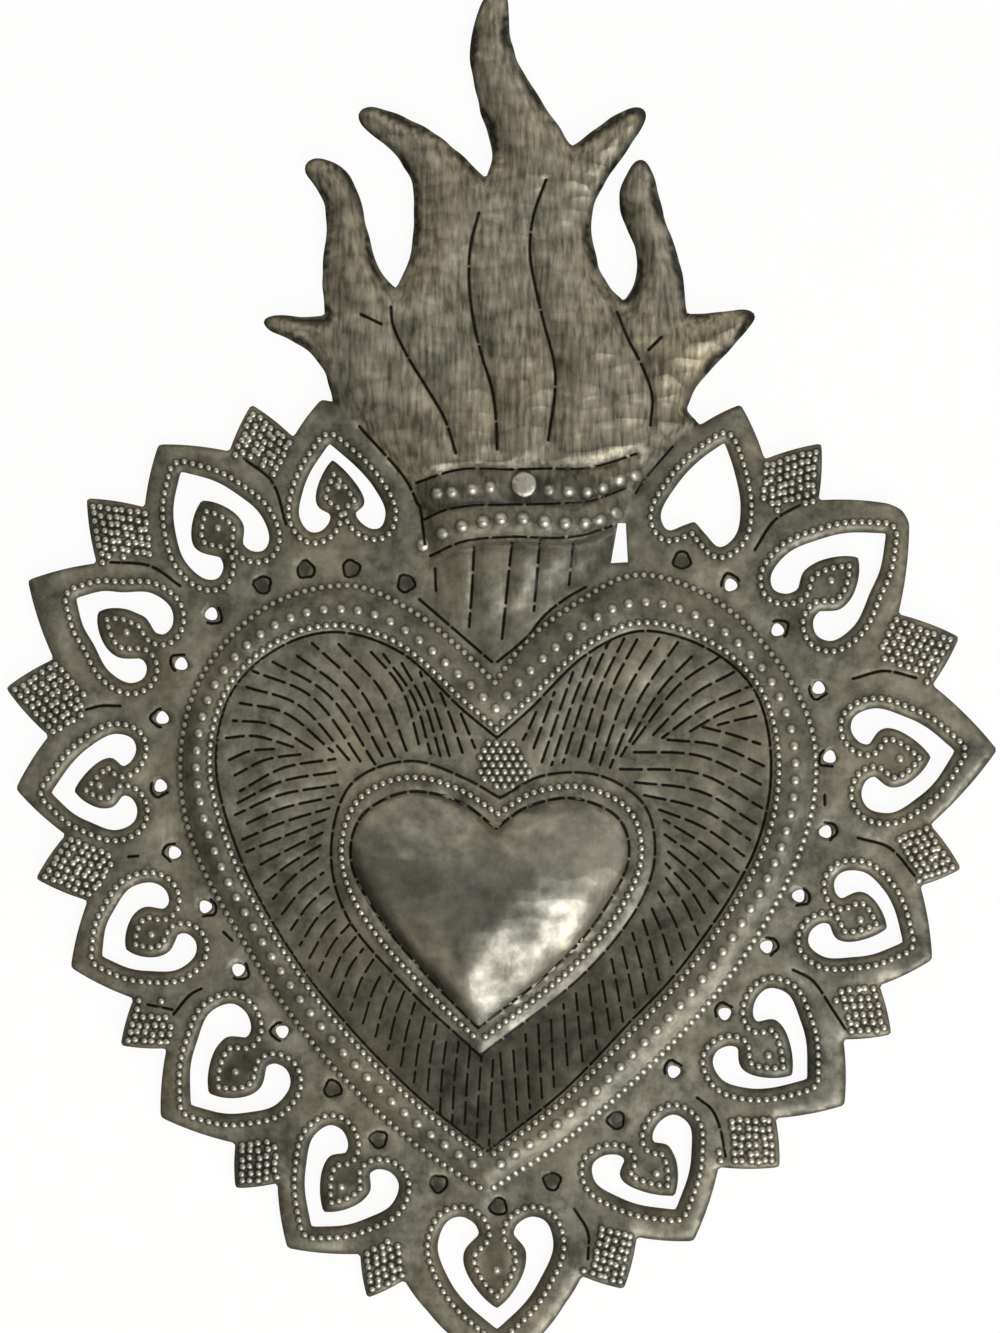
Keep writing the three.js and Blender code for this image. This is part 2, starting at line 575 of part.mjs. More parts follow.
// The D-ring hangs from its bar, with the bow below
function hangerRing() {
  const half = RING_WIDTH / 2;
  const corner = RING_CORNER_RADIUS;
  const path = new THREE.Path();
  path.moveTo(0, 0);
  path.lineTo(half - corner, 0);
  path.absarc(half - corner, -corner, corner, Math.PI / 2, 0, true);
  path.lineTo(half, half - RING_LENGTH);
  path.absarc(0, half - RING_LENGTH, half, 0, -Math.PI, true);
  path.lineTo(-half, -corner);
  path.absarc(corner - half, -corner, corner, Math.PI, Math.PI / 2, true);
  path.lineTo(0, 0);
  const bendPoints = path.getSpacedPoints(RING_STEPS).slice(0, -1);
  const route = new THREE.CatmullRomCurve3(
    bendPoints.map((p) => new THREE.Vector3(p.x, EYE_DEPTH, EYE_HEIGHT + p.y)),
    true,
    "centripetal",
  );
  return new THREE.TubeGeometry(route, RING_STEPS, RING_WIRE_DIAMETER / 2, WIRE_STEPS, true);
}

// The assembly

const lacqueredSteel = new THREE.MeshStandardMaterial({ color: 0x6b675c, roughness: 0.38, metalness: 1 });
const peenedSteel = new THREE.MeshStandardMaterial({ color: 0x8f8c82, roughness: 0.5, metalness: 1 });
const strapSteel = new THREE.MeshStandardMaterial({ color: 0x5f5b52, roughness: 0.5, metalness: 1 });
const wireSteel = new THREE.MeshStandardMaterial({ color: 0x9a978f, roughness: 0.3, metalness: 1 });

const ornament = new THREE.Group();
for (const [name, geometry, material] of [
  ["heart_sheet", heartSheet(), lacqueredSteel],
  ["hanger_rivet", hangerRivet(), peenedSteel],
  ["hanger_strap", hangerStrap(), strapSteel],
  ["hanger_ring", hangerRing(), wireSteel],
]) {
  const piece = new THREE.Mesh(geometry, material);
  piece.name = name;
  ornament.add(piece);
}

export default ornament;
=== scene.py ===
import math

import bmesh
import bpy
import numpy as np
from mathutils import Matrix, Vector
from mathutils.geometry import delaunay_2d_cdt
from mathutils.kdtree import KDTree


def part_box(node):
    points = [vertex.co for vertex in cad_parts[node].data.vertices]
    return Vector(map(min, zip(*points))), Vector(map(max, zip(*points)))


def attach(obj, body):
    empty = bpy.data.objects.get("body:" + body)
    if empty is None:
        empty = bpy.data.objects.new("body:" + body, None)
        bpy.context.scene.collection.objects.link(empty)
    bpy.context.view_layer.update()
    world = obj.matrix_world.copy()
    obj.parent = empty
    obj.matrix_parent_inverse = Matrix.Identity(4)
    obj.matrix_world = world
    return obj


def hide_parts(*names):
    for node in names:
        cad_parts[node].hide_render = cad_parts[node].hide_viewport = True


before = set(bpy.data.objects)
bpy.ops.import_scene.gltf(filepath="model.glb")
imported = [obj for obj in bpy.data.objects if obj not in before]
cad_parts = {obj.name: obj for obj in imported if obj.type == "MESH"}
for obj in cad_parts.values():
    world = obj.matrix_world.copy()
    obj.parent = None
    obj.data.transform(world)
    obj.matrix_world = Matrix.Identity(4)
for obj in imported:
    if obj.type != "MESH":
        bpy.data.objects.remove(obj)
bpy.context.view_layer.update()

bl_info = {
    "name": "Sacred Heart Wall Ornament",
    "version": (1, 0, 0),
    "blender": (4, 5, 0),
    "location": "View3D > Sidebar > Heart",
    "description": "Builds a chased and pierced drum-steel heart with its hanger",
    "category": "Add Mesh",
}

MM = 0.001

# The drawing
DRAWING_WIDTH = 990
RIVET_SPOT = (524, 485)

# Cut edge of the border, clockwise from the right flame to the left one: tips and notches
BORDER_CORNERS = [
    (700, 425), (741, 404), (765, 459), (822, 443), (819, 500),
    (888, 503), (903, 510), (910, 523), (899, 614), (960, 637),
    (933, 685), (998, 750), (931, 825), (962, 869), (921, 886), (933, 960), (880, 986), (892, 1035),
    (844, 1040), (845, 1106), (776, 1119), (780, 1168), (719, 1168), (694, 1242), (637, 1238), (624, 1290),
    (582, 1277), (565, 1305), (540, 1338), (497, 1367), (452, 1338), (428, 1313), (404, 1281), (367, 1299),
    (360, 1255), (287, 1249), (277, 1184), (235, 1189), (235, 1144), (160, 1118), (166, 1049), (120, 1046),
    (133, 999), (70, 968), (87, 901), (35, 879), (65, 835), (15, 789), (48, 736), (5, 688),
    (53, 659), (27, 580), (96, 563), (86, 498), (144, 507), (158, 444), (229, 451), (251, 404),
    (293, 437), (321, 399), (333, 402),
]
# Places in that list of the tips of the small beaded leaves between the scallops
LEAF_TIPS = [3, 9, 13, 17, 21, 25, 33, 37, 41, 45, 49, 53, 57]

# Cut edges of the flames from left to right, each run from one notch over a tongue to the next
FLAME_RUNS = [
    [(333, 402), (325, 374), (306, 349), (268, 328), (263, 321), (272, 315), (300, 316), (325, 315)],
    [(325, 315), (322, 276), (326, 215), (318, 190), (305, 172), (306, 162), (318, 158), (340, 165),
     (356, 187), (368, 232), (379, 268), (395, 288)],
    [(395, 288), (408, 262), (414, 215), (411, 180), (392, 150), (360, 122), (358, 113), (370, 106),
     (400, 114), (440, 136), (486, 177)],
    [(486, 177), (492, 153), (480, 108), (470, 55), (475, 20), (486, -6), (497, -13), (507, -4),
     (509, 25), (516, 56), (540, 97), (572, 146)],
    [(572, 146), (601, 124), (632, 107), (644, 108), (646, 118), (627, 150), (603, 185), (592, 216),
     (594, 245), (605, 280), (624, 301)],
    [(624, 301), (636, 278), (636, 250), (622, 215), (620, 192), (634, 162), (643, 159), (652, 170),
     (665, 218), (682, 270), (687, 314)],
    [(687, 314), (715, 312), (746, 309), (756, 315), (748, 329), (722, 358), (696, 387), (687, 409)],
]

# Foot of the crown, where flames, collar and neck rise out of the border, right to left
CROWN_FOOT = [
    (700, 425), (673, 446), (646, 480), (632, 500), (615, 545), (598, 577), (560, 604), (525, 634),
    (494, 664), (455, 625), (432, 585), (424, 545), (416, 505), (404, 480), (360, 430), (333, 402),
]

# Heart outlines, right half then left half, each from the notch at the top to the point below
BAND_OUTER = (
    [(495, 681), (525, 640), (575, 602), (636, 573), (710, 595), (772, 652), (813, 727), (814, 810),
     (777, 905), (704, 1011), (577, 1133), (487, 1194)],
    [(495, 681), (455, 642), (410, 608), (351, 584), (267, 605), (202, 673), (179, 755), (190, 840),
     (249, 953), (322, 1057), (416, 1147), (487, 1194)],
)
BAND_INNER = (
    [(497, 738), (529, 710), (587, 654), (641, 631), (710, 650), (755, 692), (771, 764), (755, 849),
     (684, 963), (623, 1029), (564, 1090), (487, 1151)],
    [(497, 738), (462, 709), (400, 652), (336, 632), (280, 647), (233, 690), (216, 763), (243, 864),
     (299, 963), (355, 1033), (420, 1098), (487, 1151)],
)
SMALL_HEART = (
    [(500, 798), (542, 776), (601, 776), (645, 806), (655, 855), (640, 903), (586, 972), (480, 1056)],
    [(500, 798), (464, 778), (410, 761), (352, 783), (331, 848), (345, 913), (406, 987), (480, 1056)],
)
DOME_FOOT = (
    [(496, 828), (525, 808), (571, 798), (618, 818), (629, 855), (605, 908), (560, 962), (478, 1028)],
    [(496, 828), (460, 802), (406, 792), (361, 817), (351, 860), (378, 915), (425, 973), (478, 1028)],
)

# Heart-shaped piercings with a leaf inside: point, leaf tip, middle of the stem, and for each side the
# lobe's centre with how full the outer cut and the leaf are against the half drawn below
PIERCED_HEARTS = [
    ((329, 443), (332, 459), (342, 508), ((316, 521), 1.0, 1.0), ((370, 518), 1.1, 1.05)),
    ((180, 471), (201, 500), (231, 550), ((207, 566), 1.0, 1.2), ((256, 536), 0.95, 0.95)),
    ((75, 598), (97, 612), (150, 648), ((129, 671), 0.74, 0.98), ((160, 614), 0.72, 0.72)),
    ((50, 793), (73, 791), (120, 781), ((125, 813), 0.88, 0.86), ((124, 750), 1.03, 0.97)),
    ((101, 957), (125, 950), (172, 922), ((184, 950), 0.9, 0.93), ((152, 895), 0.88, 0.93)),
    ((190, 1106), (208, 1094), (257, 1054), ((277, 1082), 0.93, 0.97), ((233, 1020), 0.88, 0.88)),
    ((311, 1228), (323, 1213), (356, 1166), ((385, 1185), 0.91, 0.88), ((333, 1140), 0.94, 0.92)),
    ((497, 1331), (497, 1310), (496, 1238), ((534, 1233), 0.92, 0.9), ((459, 1233), 1.03, 1.03)),
    ((676, 1211), (675, 1197), (641, 1155), ((669, 1129), 0.93, 0.8), ((607, 1167), 0.94, 1.03)),
    ((808, 1080), (793, 1076), (749, 1039), ((768, 1004), 0.9, 0.92), ((726, 1060), 1.08, 1.04)),
    ((904, 943), (888, 929), (838, 912), ((847, 884), 1.07, 1.06), ((821, 939), 0.88, 0.97)),
    ((956, 751), (932, 757), (874, 760), ((865, 727), 0.93, 1.06), ((876, 796), 0.94, 0.92)),
    ((887, 533), (859, 557), (809, 599), ((786, 577), 0.95, 0.88), ((832, 626), 0.78, 0.92)),
]
# Half of such a piercing: along the axis from stem (0) to point or leaf tip (1), then sideways
PIERCED_OUTER_HALF = [
    (1, 0), (0.69, 0.54), (0.45, 0.8), (0.1, 1),
    (-0.17, 0.85), (-0.225, 0.6), (-0.14, 0.36), (-0.04, 0.29),
]
PIERCED_LEAF_HALF = [
    (-0.04, 0.29), (0.17, 0.53), (0.31, 0.56), (0.48, 0.51), (0.69, 0.37), (0.87, 0.19), (1, 0),
]
LOBE_SPOT = (-0.06, 0.64)
# Along the axis, where a fuller side begins and where it is full
FULL_FROM = -0.04
FULL_AT = 0.26

# The one plain heart piercing, at the upper right, as two runs from its point to its notch
PLAIN_HEART_RUNS = [
    [(725, 442), (734, 468), (741, 505), (736, 535), (720, 547), (706, 534), (695, 521)],
    [(695, 521), (684, 525), (668, 530), (661, 515), (680, 481), (700, 460), (725, 442)],
]

# Slit beside the neck, punched holes, and punch marks whose tongue still closes the hole
NECK_SLOT = [(618, 523), (626, 523), (628, 562), (611, 563)]
PUNCHED_HOLES = [
    (211, 614), (181, 664), (162, 718), (160, 786), (174, 853), (205, 907), (238, 970), (282, 1032),
    (674, 1072), (725, 1014), (767, 947), (799, 896), (826, 832), (830, 757), (819, 688), (778, 630),
    (731, 585),
]
PUNCHED_TONGUES = [
    (407, 582), (352, 570), (304, 569), (261, 586), (333, 1091), (377, 1141), (437, 1185), (497, 1206),
    (552, 1180), (618, 1121), (682, 562),
]
PUNCH_RADIUS = 6.3
TONGUE_RADIUS = 8.4
HOLE_MARK_RADIUS = 9.2
# How much of its outline the punch left round closed and open holes, and how far aside the mark is thrown
TONGUE_MARK_PART = 1
HOLE_MARK_PART = 0.5
MARK_THROW = 1.8
# Middle of the heart, which the punched holes point at
HEART_MIDDLE = (495, 880)

# Collar: lines over, between and under its two rolled bands, and the beads on them
COLLAR_LINES = [
    [(416, 483), (460, 470), (514, 470), (548, 469), (583, 469), (606, 464), (636, 454)],
    [(425, 519), (443, 511), (470, 506), (506, 505), (552, 504), (590, 501), (611, 494), (626, 488)],
    [(430, 556), (456, 544), (472, 540), (510, 537), (560, 538), (587, 534), (612, 526)],
]
COLLAR_BEADS = [
    (437, 494), (452, 493), (472, 490), (490, 488), (548, 491), (568, 492), (587, 493), (603, 489),
    (620, 481), (637, 476), (423, 545), (442, 534), (462, 527), (483, 522), (501, 519), (523, 519),
    (544, 522), (565, 524), (585, 524), (601, 521), (617, 513),
]

# Chisel lines that part the flames, and the ones between the flutes of the neck
FLAME_LINES = [
    [(391, 307), (393, 325), (406, 354), (426, 387), (445, 420), (456, 454)],
    [(479, 213), (471, 244), (469, 276), (473, 319), (481, 354), (492, 390), (496, 420), (497, 450)],
    [(546, 180), (533, 218), (530, 254), (535, 286), (544, 325), (554, 364), (555, 390), (548, 441)],
    [(617, 312), (627, 338), (642, 367), (652, 397), (650, 426)],
]
NECK_LINES = [
    [(435, 568), (436, 593)],
    [(474, 547), (472, 590), (469, 627)],
    [(512, 543), (507, 590), (502, 639)],
    [(540, 540), (537, 575), (534, 611)],
    [(573, 544), (571, 565), (569, 585)],
]
# Chisel lines beside the flames and scallops and round the small leaves
BORDER_LINES = [
    [(361, 315), (382, 325)],
    [(648, 351), (661, 338)],
    [(359, 426), (406, 480), (418, 505)],
    [(673, 446), (644, 480), (636, 493)],
    [(420, 505), (425, 545)],
    [(419, 599), (455, 630), (492, 662)],
    [(497, 662), (526, 638), (545, 615), (568, 597), (586, 587)],
    [(697, 1098), (712, 1110), (720, 1128), (726, 1158)],
    [(793, 970), (812, 980), (833, 1010), (846, 1030)],
    [(574, 1209), (588, 1233), (588, 1260)],
    [(858, 838), (890, 848), (915, 876)],
    [(853, 679), (885, 671), (917, 678)],
    [(755, 550), (775, 520), (800, 505)],
    [(243, 458), (272, 482), (286, 525)],
    [(110, 562), (150, 566), (180, 586)],
    [(85, 710), (100, 706), (120, 706)],
    [(173, 1015), (190, 995), (203, 988)],
    [(128, 857), (138, 856)],
    [(147, 1005), (172, 1010)],
    [(825, 795), (825, 805)],
    [(223, 932), (232, 941)],
]

# Beaded kite over the small heart
KITE = [(483, 738), (513, 735), (536, 778), (500, 797), (470, 775)]

# Hatching of the dished field in four fans. Each guide line has its number in the fan, its outer end,
# its middle and its inner end, and the lines between two guides run evenly from one to the other.
HATCH_FANS = [
    [(0, (461, 714), (468, 731), (475, 748)), (2, (420, 672), (436, 712), (450, 758)),
     (5, (365, 645), (402, 690), (421, 752)), (7, (312, 643), (360, 690), (395, 757)),
     (10, (253, 671), (312, 697), (365, 768)), (12, (240, 703), (285, 713), (333, 752)),
     (14, (226, 738), (255, 736), (293, 747))],
    [(0, (229, 760), (250, 751), (274, 749)), (2, (240, 791), (283, 768), (335, 759)),
     (4, (235, 815), (280, 795), (338, 785)), (7, (246, 852), (285, 836), (325, 820)),
     (10, (273, 899), (292, 878), (318, 858)), (13, (300, 945), (318, 917), (334, 902)),
     (17, (338, 997), (350, 967), (363, 949)), (21, (388, 1050), (395, 1017), (404, 992)),
     (25, (440, 1115), (442, 1075), (447, 1036)), (29, (489, 1145), (491, 1100), (493, 1060))],
    [(0, (506, 1131), (503, 1090), (500, 1053)), (4, (554, 1087), (552, 1047), (551, 1015)),
     (8, (611, 1036), (606, 1002), (601, 972)), (12, (659, 980), (652, 950), (643, 920)),
     (15, (698, 935), (685, 905), (666, 878)), (19, (738, 872), (706, 846), (664, 820)),
     (23, (762, 808), (700, 774), (618, 769)), (24, (768, 788), (700, 756), (628, 752)),
     (26, (760, 744), (733, 735), (703, 727))],
    [(0, (756, 716), (737, 720), (718, 725)), (2, (750, 686), (705, 707), (662, 738)),
     (4, (718, 658), (680, 684), (632, 745)), (6, (678, 642), (640, 698), (610, 768)),
     (8, (640, 634), (612, 688), (590, 762)), (10, (608, 643), (586, 693), (563, 763)),
     (12, (573, 672), (558, 715), (540, 768)), (14, (536, 712), (530, 726), (523, 740))],
]

# Bead rows between two heart outlines: outer, inner, share of the way in, pitch, and if beads are large
BEAD_ROWS = (
    (BAND_OUTER, BAND_INNER, 0.03, 8.6, False),
    (BAND_OUTER, BAND_INNER, 0.48, 17, True),
    (BAND_OUTER, BAND_INNER, 0.84, 8.6, False),
    (SMALL_HEART, DOME_FOOT, 0.52, 8.4, False),
)
# Beads round a piercing: distance from the cut, and pitch
PIERCED_ROW = (10.5, 8.3)
# Where the one bead on a piercing's leaf sits, from stem to tip
LEAF_BEAD_SHARE = 0.45
# Beads of the kite and of the small leaves: pitch, and how far a leaf's beads stray
KITE_PITCH = 8.2
LEAF_PITCH = 7.8
LEAF_STRAY = 1.2
# Heights of the beads as shares of their radius, and sizes of special ones against those of the rows
SMALL_BEAD_RISE = 0.66
LARGE_BEAD_RISE = 0.48
LEAF_BEAD = (1.3, 1.2)
COLLAR_BEAD = (1.35, 1.7)
TIP_BEAD = (1.05, 1)
# Room that the small leaves' beads keep from other beads and from chisel strokes
BEAD_ROOM = 7.0
STROKE_ROOM = 5.5

# Chisel lines: the lines, length of a stroke, gap, where in a stroke they begin, share of the full depth
CHISEL_LINES = (
    (BAND_INNER, 60, 3, 0, 1.0),
    (SMALL_HEART, 24, 3, 0, 1.0),
    (DOME_FOOT, 17, 3, 0, 1.0),
    (FLAME_LINES, 76, 3, 0.3, 1.2),
    (COLLAR_LINES + NECK_LINES, 34, 4, 0.3, 1.1),
    (BORDER_LINES, 40, 3, 0, 1.0),
)
HATCH_STROKE = 23
HATCH_GAP = 5
HATCH_SHIFT = 0.37
HATCH_DEPTH = 0.9
MARK_DEPTH = 1.5
SHORTEST_STROKE = 4

# Cut edges: points on a scallop's side and its bulge, the chisel's wander along the flames, soft corners
SIDE_POINTS = 16
SIDE_BULGE = 0.03
WANDER = 0.45
WANDER_LENGTH = 26
OUTER_SOFTENING = 3
PIERCING_SOFTENING = 2

# Relief. Runs and places are in drawing units, heights in millimetres.
RIVET_SEAT = (15, 30)
SWELL_RUN = 10
BORDER_WAVE = 0.38
BORDER_WAVE_LENGTH = 75
TONGUE_DEPTH = 0.7
# Flames lie flatter away from the crown's middle and above its lower half
TIP_ASIDE = 60
TIP_ABOVE = 350
TIP_RUN = 150
TIP_LOSS = 0.48
# The neck falls from top to bottom and to its flanks
NECK_FALL = (560, 660)
NECK_LOSS = 0.85
NECK_FLANK = 42
# Rolled bands of the collar, swell of flames and flutes, and the planishing dents
CROWN_FADE = 16
COLLAR_ROLL = 2.3
COLLAR_REST = 13
COLLAR_LEVEL = 500
FLAME_SWELL = 2.4
FLAME_HALF = 26
FLUTE_SWELL = 0.85
FLUTE_HALF = 17
DENT_DEPTH = 0.3
DENT_HALF = 9
DENT_PITCH = (15, 12)
DENT_STRAY = 3.5
# Step and swell of the beaded strip, fullness of the dome, and its waves as height, length and seed
STRIP_STEP = 1.6
STRIP_SWELL = 0.7
DOME_FULLNESS = 0.72
DOME_WAVES = ((0.2, 62, 8), (0.12, 26, 9), (0.045, 14, 10))
# Share of a bead's height that shows as a dimple on the back
DIMPLE = 0.45

# Fineness of the visual sheet, in drawing units
DENSE_STEP = 1.0
EDGE_STEP = 3.6
STROKE_STEP = 3.6
FLAME_GRID = 5.2
SHEET_GRID = 7.0
BACK_GRID = 10.0
DASH_END = 2.2
# Rings of points on a bead, round it and behind it: radius in bead radii, and how many points
BEAD_RINGS = ((0.55, 6), (1.0, 8))
BEAD_GROUND = (1.5, 9)
BACK_BEAD_RINGS = ((1.0, 5),)
# Step from collar to neck: where it starts under the collar's lowest line, its run and its rows of points
STEP_START = 1.5
NECK_STEP = 9
STEP_ROWS = (0, 0.33, 0.67, 1, 1.45, 2.1)
# Room between mesh points: of marks from the cut edge, strokes from beads, step from both, ground, fill
RIM_ROOM = 1.4
RAIL_ROOM = 1.1
STEP_ROOM = 1.3
GROUND_ROOM = 2.2
GROUND_CLEAR = 1.36
FILL_RIM_ROOM = 2.4
FILL_ROOM = 3.0
BACK_FILL_ROOM = 3.4

# Soot and painted shade: amount, distance within which it is full and distance where it ends, in drawing
# units
# Darker along the cut edges, wider and deeper on the flames
RIM_DARKENING = (0.5, 0.9, 3.9)
FLAME_RIM_DARKENING = (0.92, 4, 7)
HOLE_SOOT = (0.55, 1.2, 3.2)
# Painted shadow round the rivet's head
RIVET_SHADOW = (0.8, 0, 4)
# Painted shade along the crown's foot round the neck, and in the notches beside the outer flames
FOOT_SHADE = (0.35, 0, 8)
NOTCH_SHADE = (0.55, 0, 34)
# Painted shade on the step from collar to neck
NECK_STEP_SHADE = (0.44, NECK_STEP + 1, NECK_STEP + 5)
# Painted shade beside the crown's right foot, wider on the crown
CROWN_SIDE_SHADE = (0.65, 0, 36)
BORDER_SIDE_SHADE = (0.5, 0, 12)
# Painted shade along the collar's top line
LIP_SHADE = (0.5, 0, 13)
# Painted shadow in the field round the small heart's strip
STRIP_SHADOW = (0.5, 0, 16)
# The same for the marks of closed holes, in their radii
TONGUE_SOOT = (0.7, 0.8, 1.3)
# Full soot round piercings and on their leaves, whose amounts change with the place as painted shade,
# darker towards the bottom, and as a painted reflection, lighter to the right
PIERCED_SOOT = (1, 7.2, 19.2)
LEAF_SOOT = (1, 8.4, 22.4)
# Ring of painted shadow round the rivet's head, and the wander of the darkening along the flames' edges
RIVET_RING = 14
FLAME_RIM_WAVE = 3
FLAME_RIM_LENGTH = 60
# Places that soot and painted shade depend on, each from where it has no say to where its say is full
LOW_BORDER = (1000, 1150)
RIGHT_BORDER = (760, 880)
RIGHTWARDS = (480, 860)
FIELD_LOW = (780, 1040)
NECK_RIGHT = (530, 580)
FLAME_TONE = (560, 480)
# Amounts: everywhere, and what those places add
# Painted shade: the border darker towards the bottom, and the soot round its piercings more there
BORDER_LOW_SHADE = 0.2
PIERCED_AMOUNT = 0.32
PIERCED_LOW_SHADE = 0.16
# Painted reflection: the soot round piercings and on the leaves thins to the right, so that side is lighter
PIERCED_RIGHT_REFLECTION = -0.28
LEAF_AMOUNT = 0.6
LEAF_RIGHT_REFLECTION = -0.5
FIELD_AMOUNT = 0.18
# Painted shade: the field darker towards the bottom
FIELD_LOW_SHADE = 0.48
NECK_AMOUNT = 0.2
# Painted shade: the neck darker on its right
NECK_RIGHT_SHADE = 0.5
BAND_AMOUNT = 0.3
# Painted shade in the collar's bands, upper and lower, and the share of that at their upper edges
COLLAR_AMOUNTS = (0.8, 0.5)
COLLAR_TOP_SHARE = 0.35
# Dome: its dark lower left, reach and amount of painted shade at its foot with what the lower left adds as
# a painted dark reflection, and how the edges of that darkness wave
DOME_LEFT = (530, 440)
DOME_LOW = (835, 870)
DOME_REACH = 6
DOME_LEFT_REACH = 11
DOME_AMOUNT = 0.15
DOME_LEFT_AMOUNT = 0.7
DOME_WAVE = 2
DOME_WAVE_LENGTH = 45
# The same painted shade in shares of its reach, and a cloud of painted dark reflection: middle, radii,
# amount, where it ends in those radii, how fast it fades and how it waves
DOME_EDGE_SHADE = (1, 0.4, 1.4)
DOME_CLOUD = (478, 905)
DOME_CLOUD_RADII = (72, 66)
DOME_CLOUD_AMOUNT = 0.5
DOME_CLOUD_END = 1.2
DOME_CLOUD_FADE = 1.5
DOME_CLOUD_WAVE = 0.3
# Smoothness of the dome against the rest, and the crown's tone at its foot against that of the flames
DOME_BURNISH = 0.65
FOOT_TONE = 0.25
# Distance in bead radii or chisel half widths from which bead and cut no longer count
FAR = 2.0


def linear(hex_colour):
    """sRGB hex to linear red, green, blue and alpha"""
    shares = [int(hex_colour[i:i + 2], 16) / 255 for i in (1, 3, 5)]
    return [s / 12.92 if s <= 0.04045 else ((s + 0.055) / 1.055) ** 2.4 for s in shares] + [1.0]


def length(label, description, default):
    """A setting in metres"""
    return bpy.props.FloatProperty(name=label, description=description, default=default, unit="LENGTH")


def tint(label, description, hex_colour):
    """A setting that is a colour"""
    return bpy.props.FloatVectorProperty(
        name=label, description=description, subtype="COLOR", size=4, default=linear(hex_colour))


# Settings that a user would change

class SheetSettings(bpy.types.PropertyGroup):
    """Sizes and colours of the sheet"""
    width: length("Width", "Across the widest tips", 0.330)
    thickness: length("Thickness", "Gauge of the drum steel", 0.0012)
    swell: length("Swell", "How far the border swells between its cut edges", 0.0013)
    crown_rise: length("Crown rise", "Hollow behind flames and collar", 0.007)
    neck_rise: length("Neck rise", "Fluted neck under the collar", 0.0042)
    crown_shoulder: length("Crown shoulder", "Run from the crown's edge to its full rise", 0.014)
    band_rise: length("Band rise", "Crest of the beaded band", 0.0036)
    band_lip: length("Band lip", "Height of the band's inner edge", 0.0024)
    field_rise: length("Field rise", "Lowest part of the hatched field", 0.0006)
    dome_rise: length("Dome rise", "Top of the small heart", 0.015)
    small_bead: length("Small bead", "Radius of the small punched beads", 0.00116)
    large_bead: length("Large bead", "Radius of the band's large beads", 0.00175)
    chisel_width: length("Chisel width", "Half the width of a chisel cut", 0.00068)
    chisel_depth: length("Chisel depth", "Depth of a chisel cut", 0.00022)
    steel: tint("Steel", "Grey of the lacquered steel", "#87867a")
    browned: tint("Browned steel", "Brown of the flames and patches", "#86806c")
    # Colour of soot, also used for the painted shade and the painted dark reflection
    soot_and_shade: tint("Soot", "Dark left in cuts and round beads", "#16140f")
    # Colour of rubbed crests and burnished dome, also the painted highlight on the crests
    bright: tint("Bright steel", "Burnished crests", "#d6d6d0")


class HangerSettings(bpy.types.PropertyGroup):
    """Sizes and colours of rivet, strap and ring"""
    wire: length("Wire", "Diameter of the ring's wire", 0.0026)
    ring_corner: length("Ring corner", "Bend between the ring's bar and its legs", 0.004)
    strap_thickness: length("Strap thickness", "Gauge of the folded strip", 0.001)
    eye_clearance: length("Eye clearance", "Play of the bar in the eye", 0.0003)
    rivet_head: length("Rivet head", "Height of the hammered head", 0.0015)
    rivet_steel: tint("Rivet steel", "Grey of the peened rivet", "#c6c3b8")
    strap_steel: tint("Strap steel", "Grey of the strap", "#8e8a80")
    wire_steel: tint("Wire steel", "Grey of the drawn wire", "#b9b7b1")


class StageSettings(bpy.types.PropertyGroup):
    """Wall, floor and light"""
    wall: tint("Wall", "Colour of the wall", "#f4f3f0")
    floor: tint("Floor", "Colour of the floor", "#e9e7e2")
    key_power: bpy.props.FloatProperty(
        name="Key power", description="Lamp at the lower right in front, in watts", default=14.5)
    fill_power: bpy.props.FloatProperty(
        name="Fill power", description="Lamp above in front, in watts", default=4.0)


# Lines and distances in drawing units

def ramp(value, start, end):
    """From 0 at the start, or before it, to 1 at the end"""
    return np.clip((value - start) / (end - start), 0, 1)


def soot_and_shade_at(away, soot_and_shade):
    """Soot and painted shade at distances from where they lie"""
    amount, full, end = soot_and_shade
    return amount * ramp(away, end, full)


def along(run, step=DENSE_STEP):
    """The same run with points every step"""
    lengths = np.r_[0, np.cumsum(np.linalg.norm(np.diff(run, axis=0), axis=1))]
    stations = np.linspace(0, lengths[-1], max(1, round(lengths[-1] / step)) + 1)
    return np.column_stack([np.interp(stations, lengths, run[:, k]) for k in (0, 1)])


def smooth(points, step=DENSE_STEP):
    """Points every step along a centripetal curve through the given points"""
    knots = np.array(points, float)
    ends = np.vstack([2 * knots[0] - knots[1], knots, 2 * knots[-1] - knots[-2]])
    s = np.linspace(0, 1, 24, endpoint=False)[:, None]
    pieces = []
    for before, start, end, after in zip(ends, ends[1:], ends[2:], ends[3:]):
        t1, t2, t3 = (np.linalg.norm(way) ** 0.5 for way in (start - before, end - start, after - end))
        leave = (start - before) / t1 - (end - before) / (t1 + t2) + (end - start) / t2
        arrive = (end - start) / t2 - (after - start) / (t2 + t3) + (after - end) / t3
        pieces.append(
            (2 * s**3 - 3 * s**2 + 1) * start + (s**3 - 2 * s**2 + s) * t2 * leave
            + (3 * s**2 - 2 * s**3) * end + (s**3 - s**2) * t2 * arrive
        )
    return along(np.vstack(pieces + [knots[-1:]]), step)


def closed_heart(halves):
    """A closed heart outline from its two halves"""
    right, left = (smooth(half) for half in halves)
    return np.vstack([right[:-1], left[::-1][:-1]])


def inside(points, outline):
    """Which points lie inside a closed outline"""
    x, y = points[:, 0], points[:, 1]
    odd = np.zeros(len(points), bool)
    for (ax, ay), (bx, by) in zip(outline, np.roll(outline, -1, axis=0)):
        if ay != by:
            crossing = (ay > y) != (by > y)
            odd ^= crossing & (x < ax + (y - ay) * (bx - ax) / (by - ay))
    return odd


